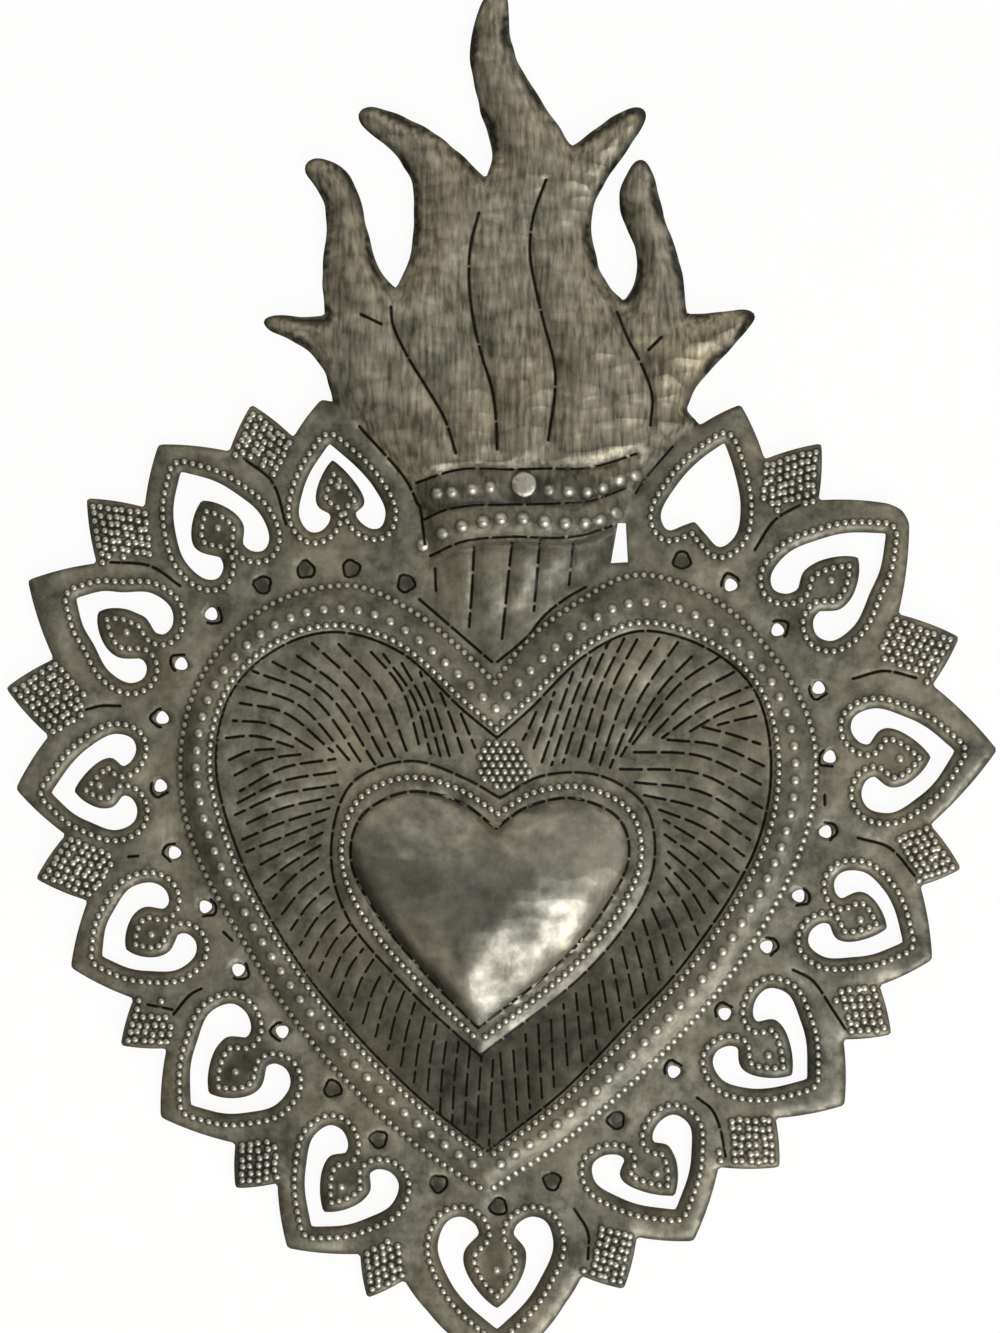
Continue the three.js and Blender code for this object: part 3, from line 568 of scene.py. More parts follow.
def tree_of(spots):
    """A search tree of many spots"""
    tree = KDTree(len(spots))
    for number, (x, y) in enumerate(spots):
        tree.insert((x, y, 0), number)
    tree.balance()
    return tree


def distance(points, spots):
    """Distance from each point to the nearest of many spots"""
    tree = tree_of(spots)
    return np.array([tree.find((x, y, 0))[2] for x, y in points])


def share_between(points, first, second):
    """How far points lie from one line towards another, from 0 to 1"""
    out = distance(points, first)
    return out / np.maximum(out + distance(points, second), 1e-6)


def unit_vector(ways):
    """The same directions, each of length 1"""
    return ways / np.linalg.norm(ways, axis=1)[:, None]


def waves(points, wavelength, seed):
    """Soft hills and hollows between about -1 and 1"""
    rng = np.random.default_rng(seed)
    total = np.zeros(len(points))
    for _ in range(10):
        angle = rng.uniform(0, 2 * math.pi)
        length = wavelength * rng.uniform(0.7, 1.5)
        phase = rng.uniform(0, 2 * math.pi)
        total += np.sin(2 * math.pi * (points @ [math.cos(angle), math.sin(angle)]) / length + phase)
    return total / math.sqrt(10)


# The sheet's pattern

def border_edge():
    """Cut edge of the border, its sides swelling out a little between tips and notches"""
    corners = np.array(BORDER_CORNERS, float)
    share = np.linspace(0, 1, SIDE_POINTS, endpoint=False)[:, None]
    pieces = []
    for a, b in zip(corners, corners[1:]):
        outward = np.array([(b - a)[1], -(b - a)[0]])
        pieces.append(a + share * (b - a) + 4 * share * (1 - share) * SIDE_BULGE * outward)
    return np.vstack(pieces + [corners[-1:]])


def flame_edge():
    """Cut edge of the flames, as uneven as the chisel left it"""
    runs = [smooth(run)[:-1] for run in FLAME_RUNS]
    edge = np.vstack(runs + [np.array(FLAME_RUNS[-1][-1:], float)])
    return edge + WANDER * np.column_stack([waves(edge, WANDER_LENGTH, seed) for seed in (21, 22)])


def softened(outline, reach):
    """A closed outline with its corners rounded by averaging over a reach of points"""
    total = np.zeros_like(outline)
    for shift in range(-reach, reach + 1):
        total += np.roll(outline, shift, axis=0)
    return total / (2 * reach + 1)


def closed(outline, step=DENSE_STEP):
    """A closed outline with points every step"""
    return along(np.vstack([outline, outline[:1]]), step)[:-1]


def half_outline(half, stem, tip, aside, fullness):
    """Half of a piercing or leaf, fuller in the middle of its side than towards the lobe"""
    spots = []
    for u, v in half:
        width = v * (1 + (fullness - 1) * ramp(u, FULL_FROM, FULL_AT))
        spots.append(stem + u * (tip - stem) + width * aside)
    return smooth(spots)


def pierced_heart(spots):
    """A heart-shaped piercing round its leaf"""
    point, leaf, stem = (np.array(spot, float) for spot in spots[:3])
    halves = []
    for lobe, outer_full, leaf_full in spots[3:]:
        aside = (np.array(lobe) - stem - LOBE_SPOT[0] * (point - stem)) / LOBE_SPOT[1]
        outer = half_outline(PIERCED_OUTER_HALF, stem, point, aside, outer_full)
        inner = half_outline(PIERCED_LEAF_HALF, stem, leaf, aside, leaf_full)
        halves.append(np.vstack([outer[:-1], inner]))
    down, up = halves
    return np.vstack([down[:-1], up[::-1][:-1]])


def punched_hole(spot):
    """A rounded triangle, pointing at the middle of the heart"""
    x, y = spot
    lean = math.atan2(HEART_MIDDLE[1] - y, HEART_MIDDLE[0] - x)
    turn = np.linspace(0, 2 * math.pi, 20, endpoint=False)
    reach = PUNCH_RADIUS * (1 + 0.08 * np.cos(3 * (turn - lean)))
    return np.column_stack([x + reach * np.cos(turn), y + reach * np.sin(turn)])


def punch_mark(spot, size, part, lean):
    """The crooked outline that a punch leaves, or part of it, thrown a little to one side of the hole"""
    turn = lean + np.linspace(-part * math.pi, part * math.pi, 48)
    reach = size * (1 + 0.1 * np.cos(3 * (turn - lean)) + 0.05 * np.cos(5 * (turn + lean)))
    throw = MARK_THROW * np.array([math.cos(lean), math.sin(lean)])
    mark = np.column_stack([reach * np.cos(turn), reach * np.sin(turn)])
    return along(spot + throw + mark)


def cut_loops():
    """Outer cut edge first, then the ornamental piercings, then the small holes"""
    outer = closed(np.vstack([border_edge(), flame_edge()[1:]]))
    plain = np.vstack([smooth(run)[:-1] for run in PLAIN_HEART_RUNS])
    ornaments = [plain] + [pierced_heart(spots) for spots in PIERCED_HEARTS]
    holes = [np.array(NECK_SLOT, float)] + [punched_hole(spot) for spot in PUNCHED_HOLES]
    ornaments = [softened(closed(loop), PIERCING_SOFTENING) for loop in ornaments]
    return softened(outer, OUTER_SOFTENING), ornaments, holes


def bead_row(run, pitch, radius, height):
    """Beads along an open or closed run"""
    return [(x, y, radius, height) for x, y in along(run, pitch)[:-1]]


def row_round(loop, gap, pitch, radius, height):
    """A row of beads in the metal round a piercing, swinging round its corners"""
    travel = np.roll(loop, -2, axis=0) - np.roll(loop, 2, axis=0)
    aside = unit_vector(np.column_stack([-travel[:, 1], travel[:, 0]]))
    if inside(loop + 2 * aside, loop).mean() > 0.5:
        aside = -aside
    row = []
    next_spots, next_ways = (np.roll(values, -1, axis=0) for values in (loop, aside))
    for spot, after, way, turned in zip(loop, next_spots, aside, next_ways):
        for share in (0, 0.25, 0.5, 0.75):
            lean = (1 - share) * way + share * turned
            row.append(spot + share * (after - spot) + gap * lean / np.linalg.norm(lean))
    row = np.array(row)
    kept = distance(row, loop) > gap - 0.7
    first = -int(np.argmin(kept))
    stretches = [[]]
    for spot, good in zip(np.roll(row, first, axis=0), np.roll(kept, first)):
        if good:
            stretches[-1].append(spot)
        elif stretches[-1]:
            stretches.append([])
    beads = []
    for stretch in stretches:
        if len(stretch) > 30:
            beads += bead_row(np.array(stretch), pitch, radius, height)
    return beads


def leaf_beads(radius, height):
    """Beads in rows that fill each small leaf of the border"""
    corners = np.array(BORDER_CORNERS, float)
    rng = np.random.default_rng(5)
    beads = []
    for number in LEAF_TIPS:
        tip, one, other = corners[number], corners[number - 1], corners[number + 1]
        rows = max(3, round(np.linalg.norm(one - tip) / LEAF_PITCH))
        files = max(3, round(np.linalg.norm(other - tip) / LEAF_PITCH))
        for r in range(rows):
            for f in range(files):
                u = (r + 0.8) / rows
                v = (f + 0.8) / files
                if u + v < 1.8:
                    stray = rng.uniform(-LEAF_STRAY, LEAF_STRAY, 2)
                    spot = tip + u * (one - tip) + v * (other - tip) + stray
                    beads.append((*spot, radius, height))
    return np.array(beads)


def kite_beads(radius, height):
    """Beads on a slanted grid inside the kite over the small heart"""
    outline = np.array(KITE, float)
    middle = outline.mean(axis=0)
    steps = np.arange(-6, 7) * KITE_PITCH
    spots = np.array([middle + (0.5 * (a + b), 0.87 * (a - b)) for a in steps for b in steps])
    kept = spots[inside(spots, middle + 0.88 * (outline - middle))]
    return [(x, y, radius, height) for x, y in kept]


def all_beads(settings, ornaments, strokes):
    """Every bead as x, y, radius in drawing units and height in millimetres"""
    unit = settings.width / DRAWING_WIDTH
    small = settings.small_bead / unit
    large = settings.large_bead / unit
    low = SMALL_BEAD_RISE * settings.small_bead / MM
    high = LARGE_BEAD_RISE * settings.large_bead / MM
    beads = []
    for outer, inner, share, pitch, is_large in BEAD_ROWS:
        radius, height = (large, high) if is_large else (small, low)
        for out_half, in_half in zip(outer, inner):
            beads += bead_row(between(out_half, in_half, share), pitch, radius, height)
    for loop in ornaments:
        beads += row_round(loop, *PIERCED_ROW, small, low)
    for _, leaf, stem, *_ in PIERCED_HEARTS:
        spot = np.array(stem) + LEAF_BEAD_SHARE * (np.array(leaf) - np.array(stem))
        beads.append((*spot, LEAF_BEAD[0] * small, LEAF_BEAD[1] * low))
    beads += kite_beads(small, low)
    beads += [(x, y, COLLAR_BEAD[0] * large, COLLAR_BEAD[1] * high) for x, y in COLLAR_BEADS]
    beads = np.array(beads)
    tips = leaf_beads(TIP_BEAD[0] * small, TIP_BEAD[1] * low)
    tips = tips[distance(tips[:, :2], beads[:, :2]) > BEAD_ROOM]
    tips = tips[distance(tips[:, :2], np.vstack([stroke for stroke, _ in strokes])) > STROKE_ROOM]
    return np.vstack([beads, tips])


def between(outer_half, inner_half, share):
    """A run a share of the way from one half heart to another"""
    spots = np.linspace(0, 1, 400)
    runs = []
    for run in (smooth(outer_half), smooth(inner_half)):
        places = np.linspace(0, 1, len(run))
        runs.append(np.column_stack([np.interp(spots, places, run[:, k]) for k in (0, 1)]))
    return runs[0] + share * (runs[1] - runs[0])


def dashes(run, dash, gap, start):
    """Chisel strokes along a run, with the gaps between two blows"""
    dense = along(run)
    strokes = []
    place = -int(start * dash)
    while place < len(dense) - SHORTEST_STROKE:
        stroke = dense[max(0, place):place + dash]
        if len(stroke) > SHORTEST_STROKE:
            strokes.append(stroke)
        place += dash + gap
    return strokes


def all_strokes():
    """Every chisel stroke as a run of points, with its share of the full depth"""
    strokes = []
    for fan in HATCH_FANS:
        numbers = [guide[0] for guide in fan]
        for line in range(numbers[-1] + 1):
            spots = []
            for place in (1, 2, 3):
                across, down = zip(*(guide[place] for guide in fan))
                spots.append((np.interp(line, numbers, across), np.interp(line, numbers, down)))
            start = (HATCH_SHIFT * line) % 1
            strokes += [(s, HATCH_DEPTH) for s in dashes(smooth(spots), HATCH_STROKE, HATCH_GAP, start)]
    for lines, dash, gap, start, depth in CHISEL_LINES:
        for line in lines:
            strokes += [(s, depth) for s in dashes(smooth(line), dash, gap, start)]
    rng = np.random.default_rng(17)
    marks = [(spot, TONGUE_RADIUS, TONGUE_MARK_PART) for spot in PUNCHED_TONGUES]
    marks += [(spot, HOLE_MARK_RADIUS, HOLE_MARK_PART) for spot in PUNCHED_HOLES]
    for spot, size, part in marks:
        lean = rng.uniform(-math.pi, math.pi)
        strokes.append((punch_mark(spot, size, part, lean), MARK_DEPTH))
    return strokes


# The sheet's relief

def dome_share():
    """A soft skin blown up inside the small heart: its height from 0 to 1 on a grid of drawing units"""
    outline = closed_heart(DOME_FOOT)
    step = 3
    low = outline.min(axis=0) - 2 * step
    columns, rows = np.ceil((outline.max(axis=0) + 2 * step - low) / step).astype(int)
    gx, gy = np.meshgrid(np.arange(columns), np.arange(rows))
    spots = low + step * np.column_stack([gx.ravel(), gy.ravel()])
    held = inside(spots, outline).reshape(rows, columns)
    skin = np.zeros((rows, columns))
    for _ in range(2500):
        beside = skin[2:, 1:-1] + skin[:-2, 1:-1] + skin[1:-1, 2:] + skin[1:-1, :-2]
        skin[1:-1, 1:-1] = 0.25 * beside + 1
        skin *= held
    return low, step, skin / skin.max()


def staggered(low, high, wide, tall):
    """Rows of points, every other row moved by half a step"""
    xs = np.arange(low[0], high[0], wide)
    ys = np.arange(low[1], high[1], tall)
    gx, gy = np.meshgrid(xs, ys)
    gx = gx + wide / 2 * (np.arange(len(ys)) % 2)[:, None]
    return np.column_stack([gx.ravel(), gy.ravel()])


def on_grid(points, low, step, grid):
    """Values of a grid between its spots"""
    place = (points - low) / step
    cell = np.clip(place.astype(int), 0, np.array(grid.shape)[::-1] - 2)
    u, v = np.clip(place - cell, 0, 1).T
    x, y = cell.T
    return ((1 - u) * (1 - v) * grid[y, x] + u * (1 - v) * grid[y, x + 1]
            + (1 - u) * v * grid[y + 1, x] + u * v * grid[y + 1, x + 1])


class Relief:
    """The hammered form of the sheet, asked for at points of the drawing"""

    def __init__(self, settings):
        self.unit = settings.width / DRAWING_WIDTH
        self.settings = settings
        self.outer, self.ornaments, self.holes = cut_loops()
        self.strokes = all_strokes()
        self.beads = all_beads(settings, self.ornaments, self.strokes)
        self.cuts = np.vstack([self.outer] + self.ornaments)
        self.crown = np.vstack([flame_edge(), along(np.array(CROWN_FOOT, float))])
        self.hearts = [closed_heart(halves) for halves in (BAND_OUTER, BAND_INNER, SMALL_HEART, DOME_FOOT)]
        self.collar = [smooth(line) for line in COLLAR_LINES]
        self.tongues = np.array(PUNCHED_TONGUES, float)
        self.leaves = np.vstack([
            along(np.array([stem, leaf], float)) for _, leaf, stem, *_ in PIERCED_HEARTS])
        self.dome = dome_share()

    def units(self, metres):
        """Metres in drawing units"""
        return metres / self.unit

    def form(self, points):
        """Height of the front in millimetres without beads and cuts"""
        cfg = self.settings
        seat = ramp(np.linalg.norm(points - RIVET_SPOT, axis=1), *RIVET_SEAT)
        edge = ramp(distance(points, self.cuts), 0, SWELL_RUN)
        crown = self.crown_form(points, seat)
        flat = np.clip(1 - crown / 2, 0, 1)
        height = cfg.thickness / MM + flat * cfg.swell / MM * (1 - (1 - edge) ** 2)
        height += BORDER_WAVE * flat * edge * waves(points, BORDER_WAVE_LENGTH, 3)
        tongue = ramp(distance(points, self.tongues), 0, TONGUE_RADIUS)
        height -= TONGUE_DEPTH * (1 - tongue**2)
        return height + crown + self.heart_form(points)

    def crown_form(self, points, seat):
        """Rise of flames, collar and neck, flat under the rivet's head"""
        cfg = self.settings
        rise = np.zeros(len(points))
        chosen = np.flatnonzero(inside(points, self.crown))
        if not len(chosen):
            return rise
        spots = points[chosen]
        depth = distance(spots, self.crown)
        left = ramp(depth, self.units(cfg.crown_shoulder), 0)
        away = np.maximum(np.abs(spots[:, 0] - RIVET_SPOT[0]) - TIP_ASIDE, TIP_ABOVE - spots[:, 1])
        tip_share = 1 - TIP_LOSS * ramp(away, 0, TIP_RUN)
        lift = cfg.crown_rise / MM * (1 - left**2) * tip_share
        drop = self.neck_drop(spots)
        down = ramp(spots[:, 1], *NECK_FALL)
        flank = ramp(depth, 0, NECK_FLANK)
        neck_rise = cfg.neck_rise / MM * (1 - NECK_LOSS * down) * flank * flank * (3 - 2 * flank)
        lift += drop * (np.minimum(lift, neck_rise) - lift)
        fade = ramp(depth, 0, CROWN_FADE) * seat[chosen]
        collar = np.zeros(len(spots), bool)
        for held, share in self.collar_bands(spots):
            collar[held] = True
            lift[held] += COLLAR_ROLL * fade[held] * (1 - (2 * share - 1) ** 2)
        flames = distance(spots, np.vstack([smooth(line) for line in FLAME_LINES]))
        flutes = distance(spots, np.vstack([smooth(line) for line in NECK_LINES]))
        over_collar = spots[:, 1] < COLLAR_LEVEL
        tongue = np.where(over_collar, flames / FLAME_HALF, flutes / FLUTE_HALF)
        tongue = 1 - (1 - np.clip(tongue, 0, 1)) ** 2
        near_collar = 1 - (1 - ramp(distance(spots, np.vstack(self.collar)), 0, COLLAR_REST)) ** 2
        swell = np.where(over_collar, FLAME_SWELL * tip_share, FLUTE_SWELL)
        lift += np.where(collar, 0, swell * tongue * fade * near_collar)
        dents = ramp(distance(spots, self.dents(spots)), 0, DENT_HALF)
        lift += np.where(collar | ~over_collar, 0, DENT_DEPTH * fade * dents**2)
        rise[chosen] = lift
        return rise

    def collar_bands(self, points):
        """Each band of the collar: numbers of the points in it, and how far down each lies, from 0 to 1"""
        for upper, lower in zip(self.collar, self.collar[1:]):
            held = np.flatnonzero(inside(points, np.vstack([upper, lower[::-1]])))
            yield held, share_between(points[held], upper, lower)

    def under_collar(self, points):
        """How far points lie below the start of the step under the collar's lowest line"""
        line = self.collar[2]
        return points[:, 1] - np.interp(points[:, 0], line[:, 0], line[:, 1]) - STEP_START

    def neck_drop(self, points):
        """From 0 on the collar to 1 on the neck"""
        share = np.clip(self.under_collar(points) / NECK_STEP, 0, 1)
        return share * share * (3 - 2 * share)

    def dents(self, spots):
        """Middles of the planishing blows on the crown, in staggered rows"""
        rng = np.random.default_rng(11)
        grid = staggered(spots.min(axis=0), spots.max(axis=0) + DENT_PITCH, *DENT_PITCH)
        return grid + rng.uniform(-DENT_STRAY, DENT_STRAY, grid.shape)

    def heart_form(self, points):
        """Rise of the band, the dished field, the beaded strip and the dome"""
        cfg = self.settings
        rise = np.zeros(len(points))
        band_outer, band_inner, small_heart, foot = self.hearts
        in_band = inside(points, band_outer)
        in_field = in_band & inside(points, band_inner)
        in_strip = in_field & inside(points, small_heart)
        in_dome = in_strip & inside(points, foot)
        crest, lip = cfg.band_rise / MM, cfg.band_lip / MM
        low, top = cfg.field_rise / MM, cfg.dome_rise / MM
        chosen = np.flatnonzero(in_band & ~in_field)
        t = share_between(points[chosen], band_outer, band_inner)
        rise[chosen] = np.where(
            t < 0.5, crest * np.sin(math.pi * t) ** 1.2, crest - (crest - lip) * (2 * t - 1) ** 2)
        chosen = np.flatnonzero(in_field & ~in_strip)
        t = share_between(points[chosen], band_inner, small_heart)
        rise[chosen] = low + (lip - low) * (1 - t) ** 1.5
        chosen = np.flatnonzero(in_strip & ~in_dome)
        t = share_between(points[chosen], small_heart, foot)
        rise[chosen] = low + STRIP_STEP * t + STRIP_SWELL * (1 - (2 * t - 1) ** 2)
        chosen = np.flatnonzero(in_dome)
        blown = on_grid(points[chosen], *self.dome)
        rise[chosen] = low + STRIP_STEP + (top - low - STRIP_STEP) * blown**DOME_FULLNESS
        for height, length, seed in DOME_WAVES:
            rise[chosen] += height * waves(points[chosen], length, seed)
        return rise

    def beads_at(self, points):
        """Lift of the beads in millimetres, distance from the nearest in its radii, and its radius"""
        tree = tree_of(self.beads[:, :2])
        lift = np.zeros(len(points))
        away = np.full(len(points), FAR)
        size = np.zeros(len(points))
        for number, (x, y) in enumerate(points):
            for _, bead, gap in tree.find_n((x, y, 0), 2):
                radius, height = self.beads[bead, 2:]
                share = gap / radius
                if share < away[number]:
                    away[number] = share
                    size[number] = radius
                lift[number] = max(lift[number], height * (1 - share * share))
        return lift, away, size

    def cuts_at(self, points):
        """Depth of the chisel cuts in millimetres, and distance from the nearest in half widths"""
        spots = np.vstack([stroke for stroke, _ in self.strokes])
        depths = np.concatenate([np.full(len(stroke), depth) for stroke, depth in self.strokes])
        tree = tree_of(spots)
        found = [tree.find((x, y, 0)) for x, y in points]
        away = np.array([gap for _, _, gap in found]) / self.units(self.settings.chisel_width)
        depth = depths[[spot for _, spot, _ in found]] * self.settings.chisel_depth / MM
        return depth * np.clip(1 - away, 0, 1), np.minimum(away, FAR)

    def front(self, points):
        """Height of the front, and the values that its material reads at each point"""
        lift, bead, size = self.beads_at(points)
        depth, cut = self.cuts_at(points)
        in_dome = inside(points, self.hearts[3])
        in_crown = inside(points, self.crown)
        rim = distance(points, self.cuts)
        hole = distance(points, np.vstack([closed(hole) for hole in self.holes]))
        tongue = distance(points, self.tongues) / TONGUE_RADIUS
        ring = np.abs(np.linalg.norm(points - RIVET_SPOT, axis=1) - RIVET_RING)
        foot = distance(points, along(np.array(CROWN_FOOT[4:11], float)))
        notch = distance(points, np.array([CROWN_FOOT[0], CROWN_FOOT[-1]], float))
        below = self.under_collar(points)
        in_neck = in_crown & (below > 0)
        leaf = distance(points, self.leaves)
        lip = distance(points, smooth(COLLAR_LINES[0][1:5]))
        side = distance(points, along(np.array(CROWN_FOOT[:4], float)))
        in_field = inside(points, self.hearts[1]) & ~inside(points, self.hearts[2])
        in_heart = inside(points, self.hearts[0])
        in_band = in_heart & ~inside(points, self.hearts[1])
        strip = distance(points, self.hearts[2])
        pierced = distance(points, np.vstack(self.ornaments))
        x, y = points.T
        # Painted shade: the border and the soot round its piercings darker towards the bottom
        low = ramp(y, *LOW_BORDER)
        # Painted reflection: less soot round piercings and on leaves to the right, so that side is lighter
        round_cuts = PIERCED_AMOUNT + PIERCED_LOW_SHADE * low + PIERCED_RIGHT_REFLECTION * ramp(x, *RIGHT_BORDER)
        on_leaves = LEAF_AMOUNT + LEAF_RIGHT_REFLECTION * ramp(x, *RIGHTWARDS)
        wander = FLAME_RIM_WAVE * waves(points, FLAME_RIM_LENGTH, 23)
        # Soot, with painted shade and painted reflection where the terms below say so
        soot_and_shade = np.maximum.reduce([
            # darker along the cut edges, wider on the flames
            soot_and_shade_at(rim, RIM_DARKENING),
            np.where(in_crown, soot_and_shade_at(rim - wander, FLAME_RIM_DARKENING), 0),
            soot_and_shade_at(hole, HOLE_SOOT),
            on_leaves * soot_and_shade_at(leaf, LEAF_SOOT),
            np.where(in_heart, 0, BORDER_LOW_SHADE * low),
            soot_and_shade_at(tongue, TONGUE_SOOT),
            # painted shadow round the rivet's head
            soot_and_shade_at(ring, RIVET_SHADOW),
            # painted shade at the crown's foot round the neck and in the notches
            soot_and_shade_at(foot, FOOT_SHADE),
            soot_and_shade_at(notch, NOTCH_SHADE),
            # painted shade on the neck's step and on its right side
            np.where(in_neck, NECK_AMOUNT + soot_and_shade_at(below, NECK_STEP_SHADE), 0),
            np.where(in_neck, NECK_RIGHT_SHADE * ramp(x, *NECK_RIGHT), 0),
            # painted shade beside the crown's right foot
            np.where(in_crown, soot_and_shade_at(side, CROWN_SIDE_SHADE), soot_and_shade_at(side, BORDER_SIDE_SHADE)),
            # painted shade along the collar's top line
            soot_and_shade_at(lip, LIP_SHADE),
            # painted shade: the field darker towards the bottom and round the small heart
            np.where(in_field, FIELD_AMOUNT + FIELD_LOW_SHADE * ramp(y, *FIELD_LOW), 0),
            np.where(in_field, soot_and_shade_at(strip, STRIP_SHADOW), 0),
            np.where(in_band, BAND_AMOUNT, 0),
            round_cuts * soot_and_shade_at(pierced, PIERCED_SOOT),
            # painted shade and painted dark reflection on the dome
            np.where(in_dome, self.dome_shade_and_reflection(points), 0),
            # painted shade in the collar's bands
            self.collar_shade(points),
        ])
        marks = {
            "soot_and_shade": soot_and_shade,
            "burnish": DOME_BURNISH * in_dome,
            "crown": np.where(in_crown, np.maximum(ramp(y, *FLAME_TONE), FOOT_TONE), 0),
            "bead": bead,
            "cut": cut,
            "large": (size > 1.2 * self.beads[:, 2].min()).astype(float),
        }
        return self.form(points) + lift - depth, marks

    def dome_shade_and_reflection(self, points):
        """Painted shade at the dome's foot, widest lower left, and a cloud of painted dark reflection"""
        uneven = waves(points, DOME_WAVE_LENGTH, 24)
        foot = distance(points, self.hearts[3])
        left = ramp(points[:, 0], *DOME_LEFT) * ramp(points[:, 1], *DOME_LOW)
        reach = DOME_REACH + DOME_LEFT_REACH * left + DOME_WAVE * uneven
        edge = (DOME_AMOUNT + DOME_LEFT_AMOUNT * left) * soot_and_shade_at(foot / reach, DOME_EDGE_SHADE)
        away = np.linalg.norm((points - DOME_CLOUD) / DOME_CLOUD_RADII, axis=1) + DOME_CLOUD_WAVE * uneven
        cloud = np.clip(DOME_CLOUD_FADE * (DOME_CLOUD_END - away), 0, 1)
        return np.maximum(edge, DOME_CLOUD_AMOUNT * cloud)

    def collar_shade(self, points):
        """Painted shade in the collar's bands, more in the upper one and towards its lower edge"""
        soot_and_shade = np.zeros(len(points))
        for (held, share), amount in zip(self.collar_bands(points), COLLAR_AMOUNTS):
            soot_and_shade[held] = amount * (COLLAR_TOP_SHARE + (1 - COLLAR_TOP_SHARE) * share)
        return soot_and_shade

    def back(self, points):
        """Height of the back, with the dimples behind the beads"""
        lift, *_ = self.beads_at(points)
        return np.maximum(0, self.form(points) - self.settings.thickness / MM + DIMPLE * lift)


def filling(outline, spacing):
    """Points in even triangles inside an outline"""
    grid = staggered(outline.min(axis=0), outline.max(axis=0), spacing, spacing * 0.866)
    return grid[inside(grid, outline)]


def clear_of(points, others, gap):
    """The points that keep a gap from the others"""
    return points[distance(points, others) > gap]


def thinned(points, gap):
    """One point for each cell of a square grid"""
    _, first = np.unique(np.floor(points / gap).astype(int), axis=0, return_index=True)
    return points[np.sort(first)]


def ring_points(beads, rings):
    """Middle of each bead and rings of points round it"""
    spots = [beads[:, :2]]
    for share, count in rings:
        turn = np.linspace(0, 2 * math.pi, count, endpoint=False)
        circle = np.column_stack([np.cos(turn), np.sin(turn)])
        spots.append((beads[:, None, :2] + share * beads[:, None, 2:3] * circle[None]).reshape(-1, 2))
    return np.vstack(spots)


def rail_points(strokes, half):
    """Points down the middle and both sides of each chisel cut"""
    rails = []
    for stroke, _ in strokes:
        run = along(stroke, STROKE_STEP)
        travel = np.gradient(run, axis=0)
        aside = unit_vector(np.column_stack([-travel[:, 1], travel[:, 0]]))
        rails += [run + across * aside for across in (-half, 0, half)]
        rails.append(run[:1] - DASH_END * unit_vector(travel[:1]))
        rails.append(run[-1:] + DASH_END * unit_vector(travel[-1:]))
    return np.vstack(rails)


def meshed(loops, spots):
    """Points and triangles that fill the outer loop, leaving the other loops open"""
    corners = [*np.vstack(loops), *spots]
    edges = []
    first = 0
    for loop in loops:
        count = len(loop)
        edges += [(first + i, first + (i + 1) % count) for i in range(count)]
        first += count
    flat, _, faces, *_ = delaunay_2d_cdt([Vector(c) for c in corners], edges, [], 0, 1e-4)
    points = np.array([(v.x, v.y) for v in flat])
    triangles = np.array(faces)
    middles = points[triangles].mean(axis=1)
    kept = inside(middles, loops[0])
    for hole in loops[1:]:
        boxed = (middles > hole.min(axis=0)) & (middles < hole.max(axis=0))
        near = np.flatnonzero(boxed.all(axis=1))
        kept[near[inside(middles[near], hole)]] = False
    triangles = triangles[kept]
    used = np.unique(triangles)
    place = np.full(len(points), -1)
    place[used] = np.arange(len(used))
    points, triangles = points[used], place[triangles]
    a, b, c = (points[triangles[:, k]] for k in range(3))
    turned = (b - a)[:, 0] * (c - a)[:, 1] - (b - a)[:, 1] * (c - a)[:, 0] > 0
    triangles[turned] = triangles[turned][:, ::-1]
    return points, triangles


def rim_edges(triangles):
    """Directed edges that only one triangle has"""
    edges = np.vstack([triangles[:, [0, 1]], triangles[:, [1, 2]], triangles[:, [2, 0]]])
    _, first, counts = np.unique(np.sort(edges, axis=1), axis=0, return_index=True, return_counts=True)
    return edges[first[counts == 1]]


def to_frame(points, heights, unit):
    """Drawing points and heights in millimetres to the part's frame in metres"""
    low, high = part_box("hanger_rivet")
    middle = (low + high) / 2
    return np.column_stack([
        middle.x + (points[:, 0] - RIVET_SPOT[0]) * unit,
        -heights * MM,
        middle.z + (RIVET_SPOT[1] - points[:, 1]) * unit,
    ])


def new_object(name, mesh, body, node, material):
    """A finished piece that stands for a CAD node and rides on a body"""
    piece = bpy.data.objects.new(name, mesh)
    bpy.context.scene.collection.objects.link(piece)
    mesh.materials.append(material)
    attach(piece, body)
    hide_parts(node)
    return piece


